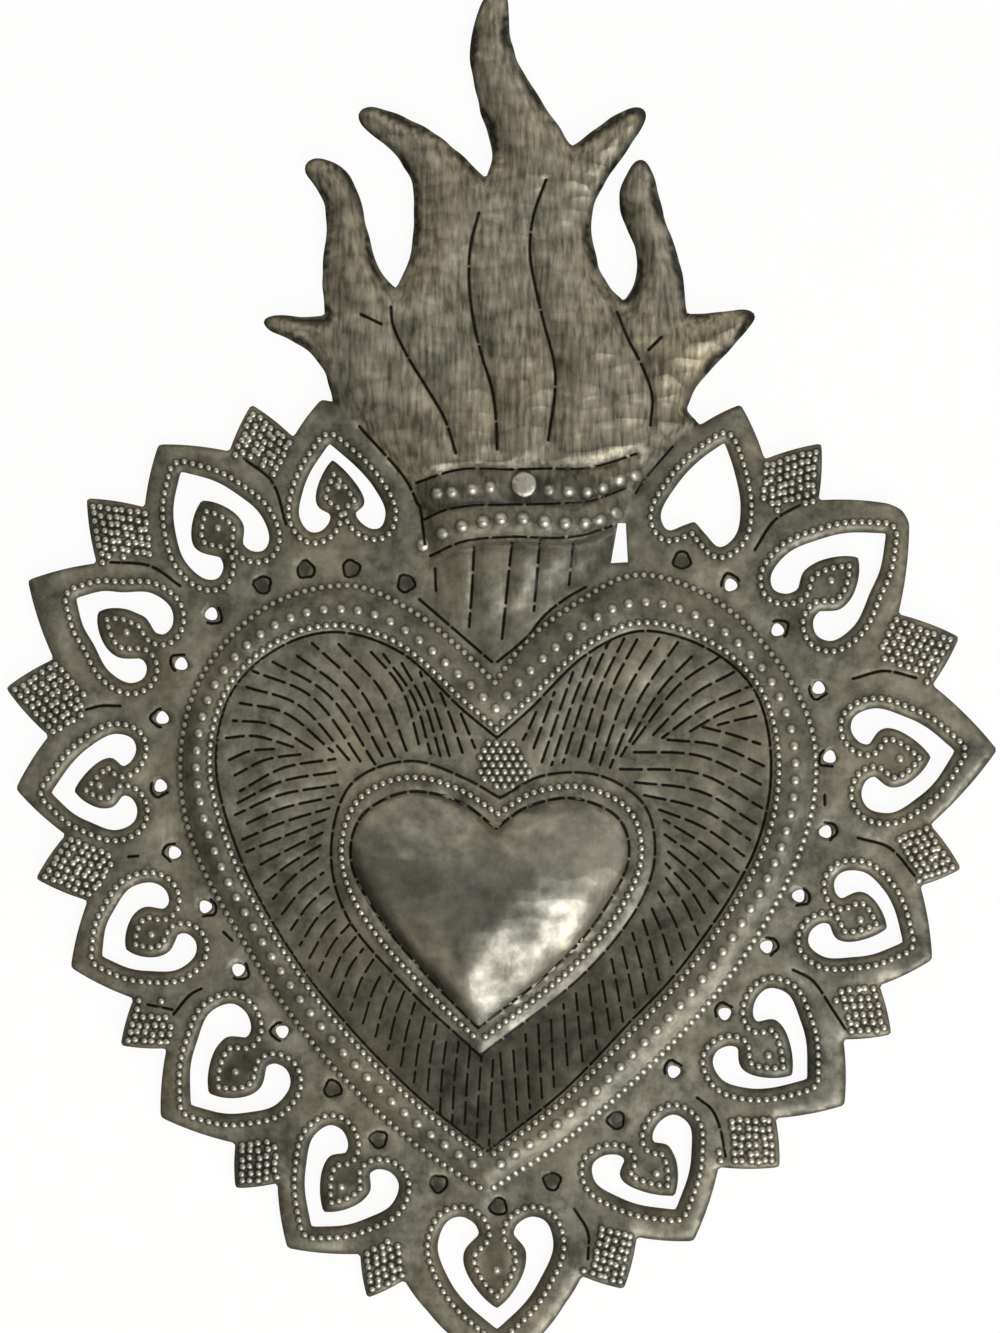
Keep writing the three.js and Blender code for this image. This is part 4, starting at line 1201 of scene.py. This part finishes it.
def build_sheet(settings):
    """The chased sheet: front, back and cut edges as one closed mesh"""
    relief = Relief(settings)
    unit = relief.unit
    half = relief.units(settings.chisel_width)
    loops = [closed(loop, EDGE_STEP) for loop in (relief.outer, *relief.ornaments)] + relief.holes
    rim = np.vstack([closed(loop) for loop in loops])

    ground = ring_points(relief.beads, (BEAD_GROUND,))[len(relief.beads):]
    ground = thinned(ground[relief.beads_at(ground)[1] > GROUND_CLEAR], GROUND_ROOM)
    beads = clear_of(np.vstack([ring_points(relief.beads, BEAD_RINGS), ground]), rim, RIM_ROOM)
    rails = clear_of(clear_of(rail_points(relief.strokes, half), rim, RIM_ROOM), beads, RAIL_ROOM)
    under = along(relief.collar[2], STROKE_STEP)
    step = np.vstack([under + (0, STEP_START + share * NECK_STEP) for share in STEP_ROWS])
    step = clear_of(clear_of(step, rim, RIM_ROOM), np.vstack([beads, rails]), STEP_ROOM)
    placed = np.vstack([beads, rails, step])
    coarse = filling(relief.outer, SHEET_GRID)
    fills = []
    for zone in (relief.crown, relief.hearts[3]):
        fills.append(filling(zone, FLAME_GRID))
        coarse = coarse[~inside(coarse, zone)]
    fill = clear_of(clear_of(np.vstack([*fills, coarse]), rim, FILL_RIM_ROOM), placed, FILL_ROOM)
    front, front_faces = meshed(loops, np.vstack([placed, fill]))

    beads = clear_of(ring_points(relief.beads, BACK_BEAD_RINGS), rim, RIM_ROOM)
    fill = clear_of(filling(relief.outer, BACK_GRID), rim, FILL_RIM_ROOM)
    back, back_faces = meshed(loops, np.vstack([beads, clear_of(fill, beads, BACK_FILL_ROOM)]))

    height, marks = relief.front(front)
    places = np.vstack([to_frame(front, height, unit), to_frame(back, relief.back(back), unit)])
    partner = tree_of(back)
    sides = []
    for a, b in rim_edges(front_faces):
        c, d = (len(front) + partner.find((*front[i], 0))[1] for i in (a, b))
        sides.append((b, a, c, d))
    faces = [*front_faces.tolist(), *(len(front) + back_faces[:, ::-1]).tolist(), *sides]
    mesh = bpy.data.meshes.new("heart_sheet_chased")
    mesh.from_pydata(places.tolist(), [], faces)
    smooth_faces = np.ones(len(faces), bool)
    smooth_faces[len(front_faces) + len(back_faces):] = False
    mesh.polygons.foreach_set("use_smooth", smooth_faces)
    for name, values in marks.items():
        rest = np.full(len(back), FAR if name in ("bead", "cut") else 0.0)
        layer = mesh.attributes.new(name, "FLOAT", "POINT")
        layer.data.foreach_set("value", np.concatenate([values, rest]).astype(np.float32))
    mesh.validate()
    return mesh


# Materials: sizes of their patterns in millimetres, flame streaks and blows as x, y, z. Streaks and grain
# are finer on the metal than a picture shows, so they are drawn coarser here.
CLOUD = 36
TARNISH = 29
MOTTLE = 6
STREAK = (1.5, 1.5, 9)
BLOW = (10, 10, 5)
BLOW_DEPTH = 1.2
STREAK_DEPTH = 0.6
GRAIN_DEPTH = 0.3
# Hanger: roughness, grain in millimetres and strength of the grain
RIVET_FINISH = (0.42, 0.7, 0.6)
STRAP_FINISH = (0.45, 1.7, 0.25)
WIRE_FINISH = (0.28, 1.1, 0.1)
# How much rougher and smoother the grain makes a metal, and how dark it gets there
GRAIN_ROUGHNESS = 0.08
GRAIN_SHADE = 0.55
# How much of the wall's own white the camera sees, the rest being lit paint
WALL_WHITE = 0.93
# Rays that leave the sheet's back reach the wall within this many metres
WALL_REACH = 0.03


def add(tree, kind, inputs=None, **settings):
    """A node with its settings, and values or links on its inputs: gives its first live output"""
    made = tree.nodes.new("ShaderNode" + kind)
    for name, value in settings.items():
        setattr(made, name, value)
    for socket, value in (inputs or {}).items():
        if isinstance(value, bpy.types.NodeSocket):
            tree.links.new(value, made.inputs[socket])
        else:
            made.inputs[socket].default_value = value
    return next((socket for socket in made.outputs if socket.enabled), None)


def new_material(name):
    """A material with an empty node tree"""
    material = bpy.data.materials.new(name)
    material.use_nodes = True
    material.node_tree.nodes.clear()
    return material, material.node_tree


def per_metre(*sizes):
    """Texture scales for patterns of the given sizes in millimetres"""
    return tuple(1 / (size * MM) for size in sizes)


def sheet_material(cfg):
    """The sheet's steel, which reads the values stored at its points"""
    # Drum steel, hammered, chased and lacquered: a dark satin metal whose crests are brighter,
    # partly rubbed and partly a painted highlight. Soot is left in every cut and round every bead,
    # and painted shade darkens steps, feet and lower parts. The flames are browner and streaked by the
    # hammer, and the domed heart is smoother, with clouds of tarnish and a painted dark reflection.
    material, tree = new_material("lacquered drum steel, hammered and chased")
    place = add(tree, "TexCoord").node.outputs["Object"]
    stored_soot_and_shade, burnish, crown, bead, cut, large = (
        add(tree, "Attribute", attribute_name=name).node.outputs["Fac"]
        for name in ("soot_and_shade", "burnish", "crown", "bead", "cut", "large")
    )

    # Soot and painted shade: chisel lines, a dark ring round each bead with painted shade in the channel
    # beside it, and the stored soot, painted shade and tarnish, which the bead crests stand clear of
    line = add(tree, "MapRange", {
        "Value": cut, "From Min": 0.55, "From Max": 1.15, "To Min": 1.0, "To Max": 0.0})
    rise = add(tree, "MapRange", {"Value": bead, "From Min": 0.72, "From Max": 1.02})
    fall = add(tree, "MapRange", {
        "Value": bead, "From Min": 1.02, "From Max": 1.34, "To Min": 0.8, "To Max": 0.0})
    # Painted shade in the channel beside each bead row
    channel_shade = add(tree, "MapRange", {
        "Value": bead, "From Min": 1.1, "From Max": 1.95, "To Min": 0.55, "To Max": 0.0})
    around = add(tree, "Math", {0: fall, 1: channel_shade}, operation="MAXIMUM")
    crisp = add(tree, "Math", {0: rise, 1: around}, operation="MINIMUM")
    softness = add(tree, "Math", {0: large, 1: -0.25, 2: 1.0}, operation="MULTIPLY_ADD")
    ring = add(tree, "Math", {0: crisp, 1: softness}, operation="MULTIPLY")
    marks = add(tree, "Math", {0: ring, 1: line}, operation="MAXIMUM")
    crest = add(tree, "MapRange", {
        "Value": bead, "From Min": 0.4, "From Max": 0.9, "To Min": 0.66, "To Max": 0.0})
    clouds = add(tree, "TexNoise", {
        "Vector": place, "Scale": per_metre(TARNISH)[0], "Detail": 3, "Distortion": 0.7})
    cloud = add(tree, "MapRange", {
        "Value": clouds, "From Min": 0.47, "From Max": 0.62, "To Min": 0.0, "To Max": 0.4})
    bare = add(tree, "Math", {0: crown, 1: -0.6, 2: 0.65}, operation="MULTIPLY_ADD")
    tarnish = add(tree, "Math", {0: cloud, 1: bare}, operation="MULTIPLY")
    grime_and_shade = add(tree, "Math", {0: tarnish, 1: stored_soot_and_shade}, operation="MAXIMUM")
    hollow = add(tree, "Math", {0: crest, 1: -1.3, 2: 1.0},
                 operation="MULTIPLY_ADD", use_clamp=True)
    settled = add(tree, "Math", {0: grime_and_shade, 1: hollow}, operation="MULTIPLY")
    soot_and_shade = add(tree, "Math", {0: marks, 1: settled}, operation="MAXIMUM")

    # Tone: clouds all over, streaks and blows on the flames
    patches = add(tree, "TexNoise", {"Vector": place, "Scale": per_metre(CLOUD)[0], "Detail": 5})
    mottle = add(tree, "TexNoise", {
        "Vector": place, "Scale": per_metre(MOTTLE)[0], "Detail": 6, "Roughness": 0.65})
    drawn = add(tree, "VectorMath", {0: place, 1: per_metre(*STREAK)}, operation="MULTIPLY")
    streaks = add(tree, "TexNoise", {"Vector": drawn, "Scale": 1, "Detail": 4})
    spread = add(tree, "VectorMath", {0: place, 1: per_metre(*BLOW)}, operation="MULTIPLY")
    blows = add(tree, "TexVoronoi", {"Vector": spread, "Scale": 1, "Smoothness": 0.15},
                feature="SMOOTH_F1")
    brown = add(tree, "MapRange", {
        "Value": patches, "From Min": 0.42, "From Max": 0.68, "To Min": 0.05, "To Max": 0.75})
    browner = add(tree, "Math", {0: crown, 1: 0.25, 2: brown},
                  operation="MULTIPLY_ADD", use_clamp=True)
    metal = add(tree, "Mix", {0: browner, 6: cfg.steel, 7: cfg.browned}, data_type="RGBA")
    haze = add(tree, "Math", {0: patches, 1: 0.6, 2: mottle}, operation="MULTIPLY_ADD")
    plain = add(tree, "MapRange", {
        "Value": haze, "From Min": 0.58, "From Max": 1.02, "To Min": 0.4, "To Max": 1.46})
    beaten = add(tree, "Math", {0: blows, 1: -0.3, 2: streaks}, operation="MULTIPLY_ADD")
    worked = add(tree, "Math", {0: mottle, 1: 0.3, 2: beaten}, operation="MULTIPLY_ADD")
    flame = add(tree, "MapRange", {
        "Value": worked, "From Min": 0.27, "From Max": 0.77, "To Min": 0.42, "To Max": 1.82})
    shade = add(tree, "Mix", {0: crown, 2: plain, 3: flame})
    toned = add(tree, "VectorMath", {0: metal, "Scale": shade}, operation="SCALE")
    # Painted highlight on the bead crests over their rubbed brightness, and a lighter burnished dome
    rubbed_and_highlit = add(tree, "Math", {0: crest, 1: 0.9}, operation="MULTIPLY")
    glint = add(tree, "Math", {0: burnish, 1: 0.2, 2: rubbed_and_highlit}, operation="MULTIPLY_ADD")
    worn_and_highlit = add(tree, "Mix", {0: glint, 6: toned, 7: cfg.bright}, data_type="RGBA")
    dark = add(tree, "Mix", {0: soot_and_shade, 6: worn_and_highlit, 7: cfg.soot_and_shade}, data_type="RGBA")

    # Gloss: satin under lacquer, smoother on crests and dome, dull in the soot
    satin = add(tree, "MapRange", {
        "Value": mottle, "From Min": 0.3, "From Max": 0.7, "To Min": 0.56, "To Max": 0.42})
    shine = add(tree, "Math", {0: crest, 1: burnish}, operation="MAXIMUM")
    polished = add(tree, "Math", {0: shine, 1: -0.16, 2: satin}, operation="MULTIPLY_ADD")
    dull = add(tree, "Math", {0: soot_and_shade, 1: 0.3, 2: polished}, operation="MULTIPLY_ADD")
    facets = add(tree, "Math", {0: burnish, 1: 0.35, 2: 0.08}, operation="MULTIPLY_ADD")
    force = add(tree, "Math", {0: crown, 1: 0.7, 2: facets}, operation="MULTIPLY_ADD")
    hammered = add(tree, "Bump", {"Height": blows, "Strength": force, "Distance": BLOW_DEPTH * MM})
    pitted = add(tree, "Bump", {
        "Height": streaks, "Strength": 0.15, "Distance": STREAK_DEPTH * MM, "Normal": hammered})
    shader = add(tree, "BsdfPrincipled", {
        "Base Color": dark, "Metallic": 1.0, "Roughness": dull, "Normal": pitted,
        "Coat Weight": 0.25, "Coat Roughness": 0.18})
    add(tree, "OutputMaterial", {"Surface": shader})
    return material


def plain_metal(name, colour, finish):
    """Bare metal with a fine grain"""
    roughness, grain_size, bump = finish
    material, tree = new_material(name)
    place = add(tree, "TexCoord").node.outputs["Object"]
    grain = add(tree, "TexNoise", {
        "Vector": place, "Scale": per_metre(grain_size)[0], "Detail": 4})
    shadow = [GRAIN_SHADE * share for share in colour[:3]] + [1]
    tone = add(tree, "Mix", {0: grain, 6: shadow, 7: colour}, data_type="RGBA")
    rough = add(tree, "MapRange", {
        "Value": grain, "To Min": roughness + GRAIN_ROUGHNESS, "To Max": roughness - GRAIN_ROUGHNESS})
    relief = add(tree, "Bump", {
        "Height": grain, "Strength": bump, "Distance": GRAIN_DEPTH * MM})
    shader = add(tree, "BsdfPrincipled", {
        "Base Color": tone, "Metallic": 1.0, "Roughness": rough, "Normal": relief})
    add(tree, "OutputMaterial", {"Surface": shader})
    return material


def wall_material(cfg):
    """The wall's paint, open from behind"""
    # Plaster, painted white: plain white to the camera and in the metal, with a breath of the heart's
    # shadow. It is open when seen from behind, and to the light on the sheet's back, which lies close.
    material, tree = new_material("plaster wall, painted white")
    path = add(tree, "LightPath").node.outputs
    seen = path["Is Camera Ray"]
    for kind in ("Is Glossy Ray", "Is Transmission Ray"):
        seen = add(tree, "Math", {0: seen, 1: path[kind]}, operation="MAXIMUM")
    share = add(tree, "Math", {0: seen, 1: WALL_WHITE}, operation="MULTIPLY")
    paint = add(tree, "BsdfDiffuse", {"Color": cfg.wall})
    white = add(tree, "Emission", {"Color": (1, 1, 1, 1), "Strength": 1.0})
    front = add(tree, "MixShader", {0: share, 1: paint, 2: white})
    behind = add(tree, "NewGeometry").node.outputs["Backfacing"]
    close = add(tree, "Math", {0: path["Ray Length"], 1: WALL_REACH}, operation="LESS_THAN")
    open_to = add(tree, "Math", {0: behind, 1: close}, operation="MAXIMUM")
    clear = add(tree, "BsdfTransparent")
    both = add(tree, "MixShader", {0: open_to, 1: front, 2: clear})
    add(tree, "OutputMaterial", {"Surface": both})
    return material


def floor_material(cfg):
    """The floor's paint"""
    # Floor paint, pale and without gloss: it takes the light evenly
    material, tree = new_material("studio floor, painted pale")
    paint = add(tree, "BsdfDiffuse", {"Color": cfg.floor})
    add(tree, "OutputMaterial", {"Surface": paint})
    return material


# The hanger. Turn of the strap's eye below level, its broken edges, and points round wire and rivet.
STRAP_WRAP = math.radians(50)
STRAP_BEVEL = 0.00018
STRAP_SHARP = math.radians(35)
RIVET_SHARP = math.radians(50)
WIRE_SIDES = 20
RIVET_SIDES = 44
# Rivet: its tail and shank as shares of the head's radius, and the head's face as shares of the radius with
# the millimetres that it falls back, then the same for the tail
RIVET_TAIL = 0.81
RIVET_SHANK = 0.46
RIVET_FACE = ((0, 0), (0.25, 0), (0.5, 0), (0.68, 0.1), (0.82, 0.3), (0.93, 0.6), (1, 1.0))
RIVET_HEAD_FOOT = 0.98
RIVET_TAIL_FACE = ((1, 0.8), (0.8, 0.2), (0.45, 0), (0, 0))
# Hammer marks on the head in millimetres: waves as height, length and seed, then mean and greatest depth
# of the marks, and how much of the head's side has none
RIVET_WAVES = ((0.07, 2.6, 21), (0.03, 1.1, 22))
RIVET_MEAN_MARK = 0.08
RIVET_DEEPEST_MARK = 0.3
RIVET_SIDE = 0.2


def build_ring(cfg):
    """The D-ring's wire, bent from straight bar to round bow"""
    low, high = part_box("hanger_ring")
    radius = cfg.wire / 2
    half = (high.x - low.x) / 2 - radius
    bar = high.z - radius
    bow = low.z + radius + half
    corner = cfg.ring_corner
    middle = (low + high) / 2
    path = [(x, bar) for x in np.linspace(-half + corner, half - corner, 24)]
    for turn in np.linspace(math.pi / 2, 0, 14)[1:]:
        path.append((half - corner + corner * math.cos(turn), bar - corner + corner * math.sin(turn)))
    path += [(half, z) for z in np.linspace(bar - corner, bow, 14)[1:]]
    path += [(half * math.cos(t), bow + half * math.sin(t)) for t in np.linspace(0, -math.pi, 52)[1:]]
    path += [(-half, z) for z in np.linspace(bow, bar - corner, 14)[1:]]
    for turn in np.linspace(math.pi, math.pi / 2, 14)[1:-1]:
        path.append((corner - half + corner * math.cos(turn), bar - corner + corner * math.sin(turn)))
    path = np.array(path)
    travel = np.roll(path, -1, axis=0) - np.roll(path, 1, axis=0)
    aside = np.column_stack([-travel[:, 1], travel[:, 0]]) / np.linalg.norm(travel, axis=1)[:, None]
    places = []
    for (x, z), (ax, az) in zip(path, aside):
        for turn in np.linspace(0, 2 * math.pi, WIRE_SIDES, endpoint=False):
            out = radius * math.cos(turn)
            places.append((middle.x + x + out * ax, middle.y + radius * math.sin(turn), z + out * az))
    return solid_mesh("hanger_ring_wire", places, skin(len(path), WIRE_SIDES, True))


def skin(rings, sides, ends_meet):
    """Faces between rings of points that follow each other"""
    faces = []
    for i in range(rings if ends_meet else rings - 1):
        j = (i + 1) % rings
        for k in range(sides):
            m = (k + 1) % sides
            faces.append((i * sides + k, i * sides + m, j * sides + m, j * sides + k))
    return faces


def solid_mesh(name, places, faces, sharp=None, bevel=None):
    """A closed mesh with its faces turned out, its edges over an angle kept sharp or broken by a bevel"""
    mesh = bpy.data.meshes.new(name)
    form = bmesh.new()
    corners = [form.verts.new(place) for place in places]
    for face in faces:
        form.faces.new([corners[i] for i in face])
    bmesh.ops.remove_doubles(form, verts=form.verts[:], dist=1e-7)
    bmesh.ops.recalc_face_normals(form, faces=form.faces[:])
    if sharp is not None:
        for edge in form.edges:
            edge.smooth = edge.calc_face_angle(0) < sharp
    if bevel is not None:
        edges = [edge for edge in form.edges if not edge.smooth]
        bmesh.ops.bevel(form, geom=edges, offset=bevel, segments=2, affect="EDGES", clamp_overlap=True)
    for face in form.faces:
        face.smooth = True
    form.to_mesh(mesh)
    form.free()
    return mesh


def build_strap(cfg):
    """The folded strip: front leaf, turn round the ring's bar, back leaf"""
    low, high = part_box("hanger_strap")
    inner = cfg.wire / 2 + cfg.eye_clearance
    outer = inner + cfg.strap_thickness
    eye = Vector((0, low.y + outer, high.z - outer))
    thick = cfg.strap_thickness
    back_front = low.y + thick + cfg.eye_clearance
    back_rear = back_front + thick
    end = low.z

    def landing(radius, face):
        """Height where the slope from the eye meets a face of the back leaf"""
        y = eye.y + radius * math.cos(STRAP_WRAP)
        z = eye.z - radius * math.sin(STRAP_WRAP)
        return z - (y - face) / math.tan(STRAP_WRAP)

    turns = np.linspace(math.pi, -STRAP_WRAP, 30)
    profile = [(low.y, end)]
    profile += [(eye.y + outer * math.cos(t), eye.z + outer * math.sin(t)) for t in turns]
    profile += [(back_rear, landing(outer, back_rear)), (back_rear, end), (back_front, end)]
    profile += [(back_front, landing(inner, back_front))]
    profile += [(eye.y + inner * math.cos(t), eye.z + inner * math.sin(t)) for t in turns[::-1]]
    profile += [(low.y + thick, end)]
    count = len(profile)
    places = [(x, y, z) for x in (low.x, high.x) for y, z in profile]
    faces = [(i, (i + 1) % count, count + (i + 1) % count, count + i) for i in range(count)]
    faces += [tuple(range(count)), tuple(range(2 * count - 1, count - 1, -1))]
    return solid_mesh("hanger_strap_folded", places, faces, STRAP_SHARP, STRAP_BEVEL)


def build_rivet(cfg):
    """The rivet: a head hammered uneven in front, a peened tail behind"""
    low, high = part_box("hanger_rivet")
    middle = (low + high) / 2
    head = (high.x - low.x) / 2
    tail = RIVET_TAIL * head
    shank = RIVET_SHANK * head
    seat = low.y + cfg.rivet_head
    tail_seat = high.y - cfg.rivet_head
    profile = [(share * head, low.y + back * MM) for share, back in RIVET_FACE]
    profile += [(RIVET_HEAD_FOOT * head, seat), (shank, seat), (shank, tail_seat), (tail, tail_seat)]
    profile += [(share * tail, high.y - back * MM) for share, back in RIVET_TAIL_FACE]
    places = []
    for radius, y in profile:
        for turn in np.linspace(0, 2 * math.pi, RIVET_SIDES, endpoint=False):
            places.append((middle.x + radius * math.cos(turn), y, middle.z + radius * math.sin(turn)))
    places = np.array(places)
    spots = places[:, [0, 2]] / MM
    uneven = sum(height * waves(spots, length, seed) for height, length, seed in RIVET_WAVES)
    hammered = places[:, 1] < seat - RIVET_SIDE * MM
    places[hammered, 1] += MM * np.clip(uneven[hammered] + RIVET_MEAN_MARK, 0, RIVET_DEEPEST_MARK)
    faces = skin(len(profile), RIVET_SIDES, False)
    return solid_mesh("hanger_rivet_peened", places, faces, RIVET_SHARP)


# Operators

class HEART_OT_sheet(bpy.types.Operator):
    """Build the chased, pierced and hammered sheet"""
    bl_idname = "heart.sheet"
    bl_label = "Sheet"

    def execute(self, context):
        cfg = context.scene.heart_sheet
        steel = sheet_material(cfg)
        mesh = build_sheet(cfg)
        new_object("heart_sheet_chased", mesh, "heart", "heart_sheet", steel)
        return {"FINISHED"}


class HEART_OT_rivet(bpy.types.Operator):
    """Build the rivet in the collar"""
    bl_idname = "heart.rivet"
    bl_label = "Rivet"

    def execute(self, context):
        cfg = context.scene.heart_hanger
        # Rivet steel, peened cold: the palest metal of the front, grainy where the hammer met it
        steel = plain_metal("rivet steel, peened", cfg.rivet_steel, RIVET_FINISH)
        mesh = build_rivet(cfg)
        new_object("hanger_rivet_peened", mesh, "heart", "hanger_rivet", steel)
        return {"FINISHED"}


class HEART_OT_strap(bpy.types.Operator):
    """Build the folded strap that holds the ring"""
    bl_idname = "heart.strap"
    bl_label = "Strap"

    def execute(self, context):
        cfg = context.scene.heart_hanger
        # Strip steel, bent cold: dull grey with broken edges that catch the light
        steel = plain_metal("strip steel, cold bent", cfg.strap_steel, STRAP_FINISH)
        mesh = build_strap(cfg)
        new_object("hanger_strap_folded", mesh, "heart", "hanger_strap", steel)
        return {"FINISHED"}


class HEART_OT_ring(bpy.types.Operator):
    """Build the D-ring that goes over the nail"""
    bl_idname = "heart.ring"
    bl_label = "Ring"

    def execute(self, context):
        cfg = context.scene.heart_hanger
        # Steel wire, drawn bright: smooth, with one clear highlight along the bend
        steel = plain_metal("steel wire, drawn bright", cfg.wire_steel, WIRE_FINISH)
        mesh = build_ring(cfg)
        new_object("hanger_ring_wire", mesh, "ring", "hanger_ring", steel)
        return {"FINISHED"}


# Camera in the photograph's place: image size in pixels, distance in metres, sensor and relief in millimetres
IMAGE_WIDTH = 1000
IMAGE_HEIGHT = 1333
CAMERA_DISTANCE = 1.6
SENSOR_WIDTH = 36.0
MEAN_RELIEF = 4.0
# The nail's height over the floor, the air behind the border, and half the width and top of the stage
HANGING_HEIGHT = 1.6
WALL_GAP = 0.003
STAGE_HALF = 3
WALL_TOP = 2
# Lamps: place and size in metres
KEY_PLACE = (0.54, -0.8, -0.98)
KEY_SIZE = 1.05
FILL_PLACE = (-0.6, -2.0, 1.2)
FILL_SIZE = 2.4
# Room light: the way to its palest side, the way to the darker figure at the camera, and its colours
PALE_WAY = (0.8, -0.05, -0.6)
FIGURE_WAY = (-0.25, -0.93, -0.2)
PALE_LIGHT = (1, 0.995, 0.97)
WARM_LIGHT = (1, 0.9, 0.74)


class HEART_OT_stage(bpy.types.Operator):
    """Set up wall, floor, light and camera"""
    bl_idname = "heart.stage"
    bl_label = "Stage"

    def execute(self, context):
        cfg = context.scene.heart_stage
        scene = context.scene
        scene.view_settings.view_transform = "Standard"
        unit = scene.heart_sheet.width / DRAWING_WIDTH
        centre = np.array([[IMAGE_WIDTH / 2, IMAGE_HEIGHT / 2]])
        aim = to_frame(centre, np.array([MEAN_RELIEF]), unit)[0]
        left, right, ground = -STAGE_HALF, STAGE_HALF, -HANGING_HEIGHT
        foot = [(left, WALL_GAP, ground), (right, WALL_GAP, ground)]
        panel("wall", [*foot, (right, WALL_GAP, WALL_TOP), (left, WALL_GAP, WALL_TOP)], wall_material(cfg))
        panel("floor", [(left, left, ground), (right, left, ground), *foot[::-1]], floor_material(cfg))
        lamp("key", KEY_PLACE, aim, KEY_SIZE, cfg.key_power)
        lamp("fill", FILL_PLACE, aim, FILL_SIZE, cfg.fill_power)
        surroundings(scene)
        lens = bpy.data.cameras.new("camera")
        lens.sensor_fit = "HORIZONTAL"
        lens.sensor_width = SENSOR_WIDTH
        lens.lens = SENSOR_WIDTH * CAMERA_DISTANCE / (IMAGE_WIDTH * unit)
        camera = bpy.data.objects.new("camera", lens)
        camera.location = (aim[0], aim[1] - CAMERA_DISTANCE, aim[2])
        camera.rotation_euler = (math.pi / 2, 0, 0)
        scene.collection.objects.link(camera)
        scene.camera = camera
        return {"FINISHED"}


def panel(name, corners, material):
    """A flat stage panel that faces the object"""
    mesh = bpy.data.meshes.new(name)
    mesh.from_pydata(corners, [], [(0, 1, 2, 3)])
    mesh.materials.append(material)
    piece = bpy.data.objects.new(name, mesh)
    bpy.context.scene.collection.objects.link(piece)


def lamp(name, place, aim, size, power):
    """A square soft lamp turned towards the object"""
    data = bpy.data.lights.new(name, "AREA")
    data.size = size
    data.energy = power
    piece = bpy.data.objects.new(name, data)
    piece.location = place
    piece.rotation_euler = (Vector(aim) - Vector(place)).to_track_quat("-Z", "Y").to_euler()
    bpy.context.scene.collection.objects.link(piece)


def surroundings(scene):
    """Soft room light: palest at the lower right, darkest at the upper left and the camera, warm overhead"""
    world = bpy.data.worlds.new("studio")
    world.use_nodes = True
    tree = world.node_tree
    tree.nodes.clear()
    way = add(tree, "TexCoord").node.outputs["Generated"]
    palest = Vector(PALE_WAY).normalized()
    facing = add(tree, "VectorMath", {0: way, 1: palest}, operation="DOT_PRODUCT")
    room = add(tree, "MapRange", {
        "Value": facing, "From Min": -0.62, "From Max": 0.62, "To Min": 0.2, "To Max": 0.52},
        interpolation_type="SMOOTHSTEP")
    viewer = Vector(FIGURE_WAY).normalized()
    near = add(tree, "VectorMath", {0: way, 1: viewer}, operation="DOT_PRODUCT")
    figure = add(tree, "MapRange", {
        "Value": near, "From Min": 0.8, "From Max": 0.96, "To Min": 1.0, "To Max": 0.55},
        interpolation_type="SMOOTHSTEP")
    room = add(tree, "Math", {0: room, 1: figure}, operation="MULTIPLY")
    high = add(tree, "SeparateXYZ", {0: way}).node.outputs["Z"]
    ceiling = add(tree, "MapRange", {
        "Value": high, "From Min": 0.0, "From Max": 0.55, "To Max": 0.55}, interpolation_type="SMOOTHSTEP")
    pale = add(tree, "VectorMath", {0: PALE_LIGHT, "Scale": room}, operation="SCALE")
    warm = add(tree, "VectorMath", {0: WARM_LIGHT, "Scale": ceiling}, operation="SCALE")
    both = add(tree, "VectorMath", {0: pale, 1: warm}, operation="ADD")
    light = add(tree, "Background", {"Color": both, "Strength": 1.0})
    add(tree, "OutputWorld", {"Surface": light})
    scene.world = world


class HEART_PT_sidebar(bpy.types.Panel):
    """Builders and sizes of the ornament"""
    bl_idname = "HEART_PT_sidebar"
    bl_label = "Sacred heart"
    bl_space_type = "VIEW_3D"
    bl_region_type = "UI"
    bl_category = "Heart"

    def draw(self, context):
        for group, builders in PANEL_GROUPS:
            for builder in builders:
                self.layout.operator(builder)
            settings = getattr(context.scene, group)
            for name in settings.__annotations__:
                self.layout.prop(settings, name)


# Groups of settings in the panel, with the builders that use them
PANEL_GROUPS = (
    ("heart_sheet", ("heart.sheet",)),
    ("heart_hanger", ("heart.rivet", "heart.strap", "heart.ring")),
    ("heart_stage", ("heart.stage",)),
)
CLASSES = (SheetSettings, HangerSettings, StageSettings, HEART_OT_sheet, HEART_OT_rivet, HEART_OT_strap,
           HEART_OT_ring, HEART_OT_stage, HEART_PT_sidebar)


def register():
    for kind in CLASSES:
        bpy.utils.register_class(kind)
    bpy.types.Scene.heart_sheet = bpy.props.PointerProperty(type=SheetSettings)
    bpy.types.Scene.heart_hanger = bpy.props.PointerProperty(type=HangerSettings)
    bpy.types.Scene.heart_stage = bpy.props.PointerProperty(type=StageSettings)


def unregister():
    for name in ("heart_sheet", "heart_hanger", "heart_stage"):
        delattr(bpy.types.Scene, name)
    for kind in reversed(CLASSES):
        bpy.utils.unregister_class(kind)


def main():
    register()
    bpy.ops.heart.stage()
    bpy.ops.heart.sheet()
    bpy.ops.heart.rivet()
    bpy.ops.heart.strap()
    bpy.ops.heart.ring()


if __name__ == "__main__":
    main()
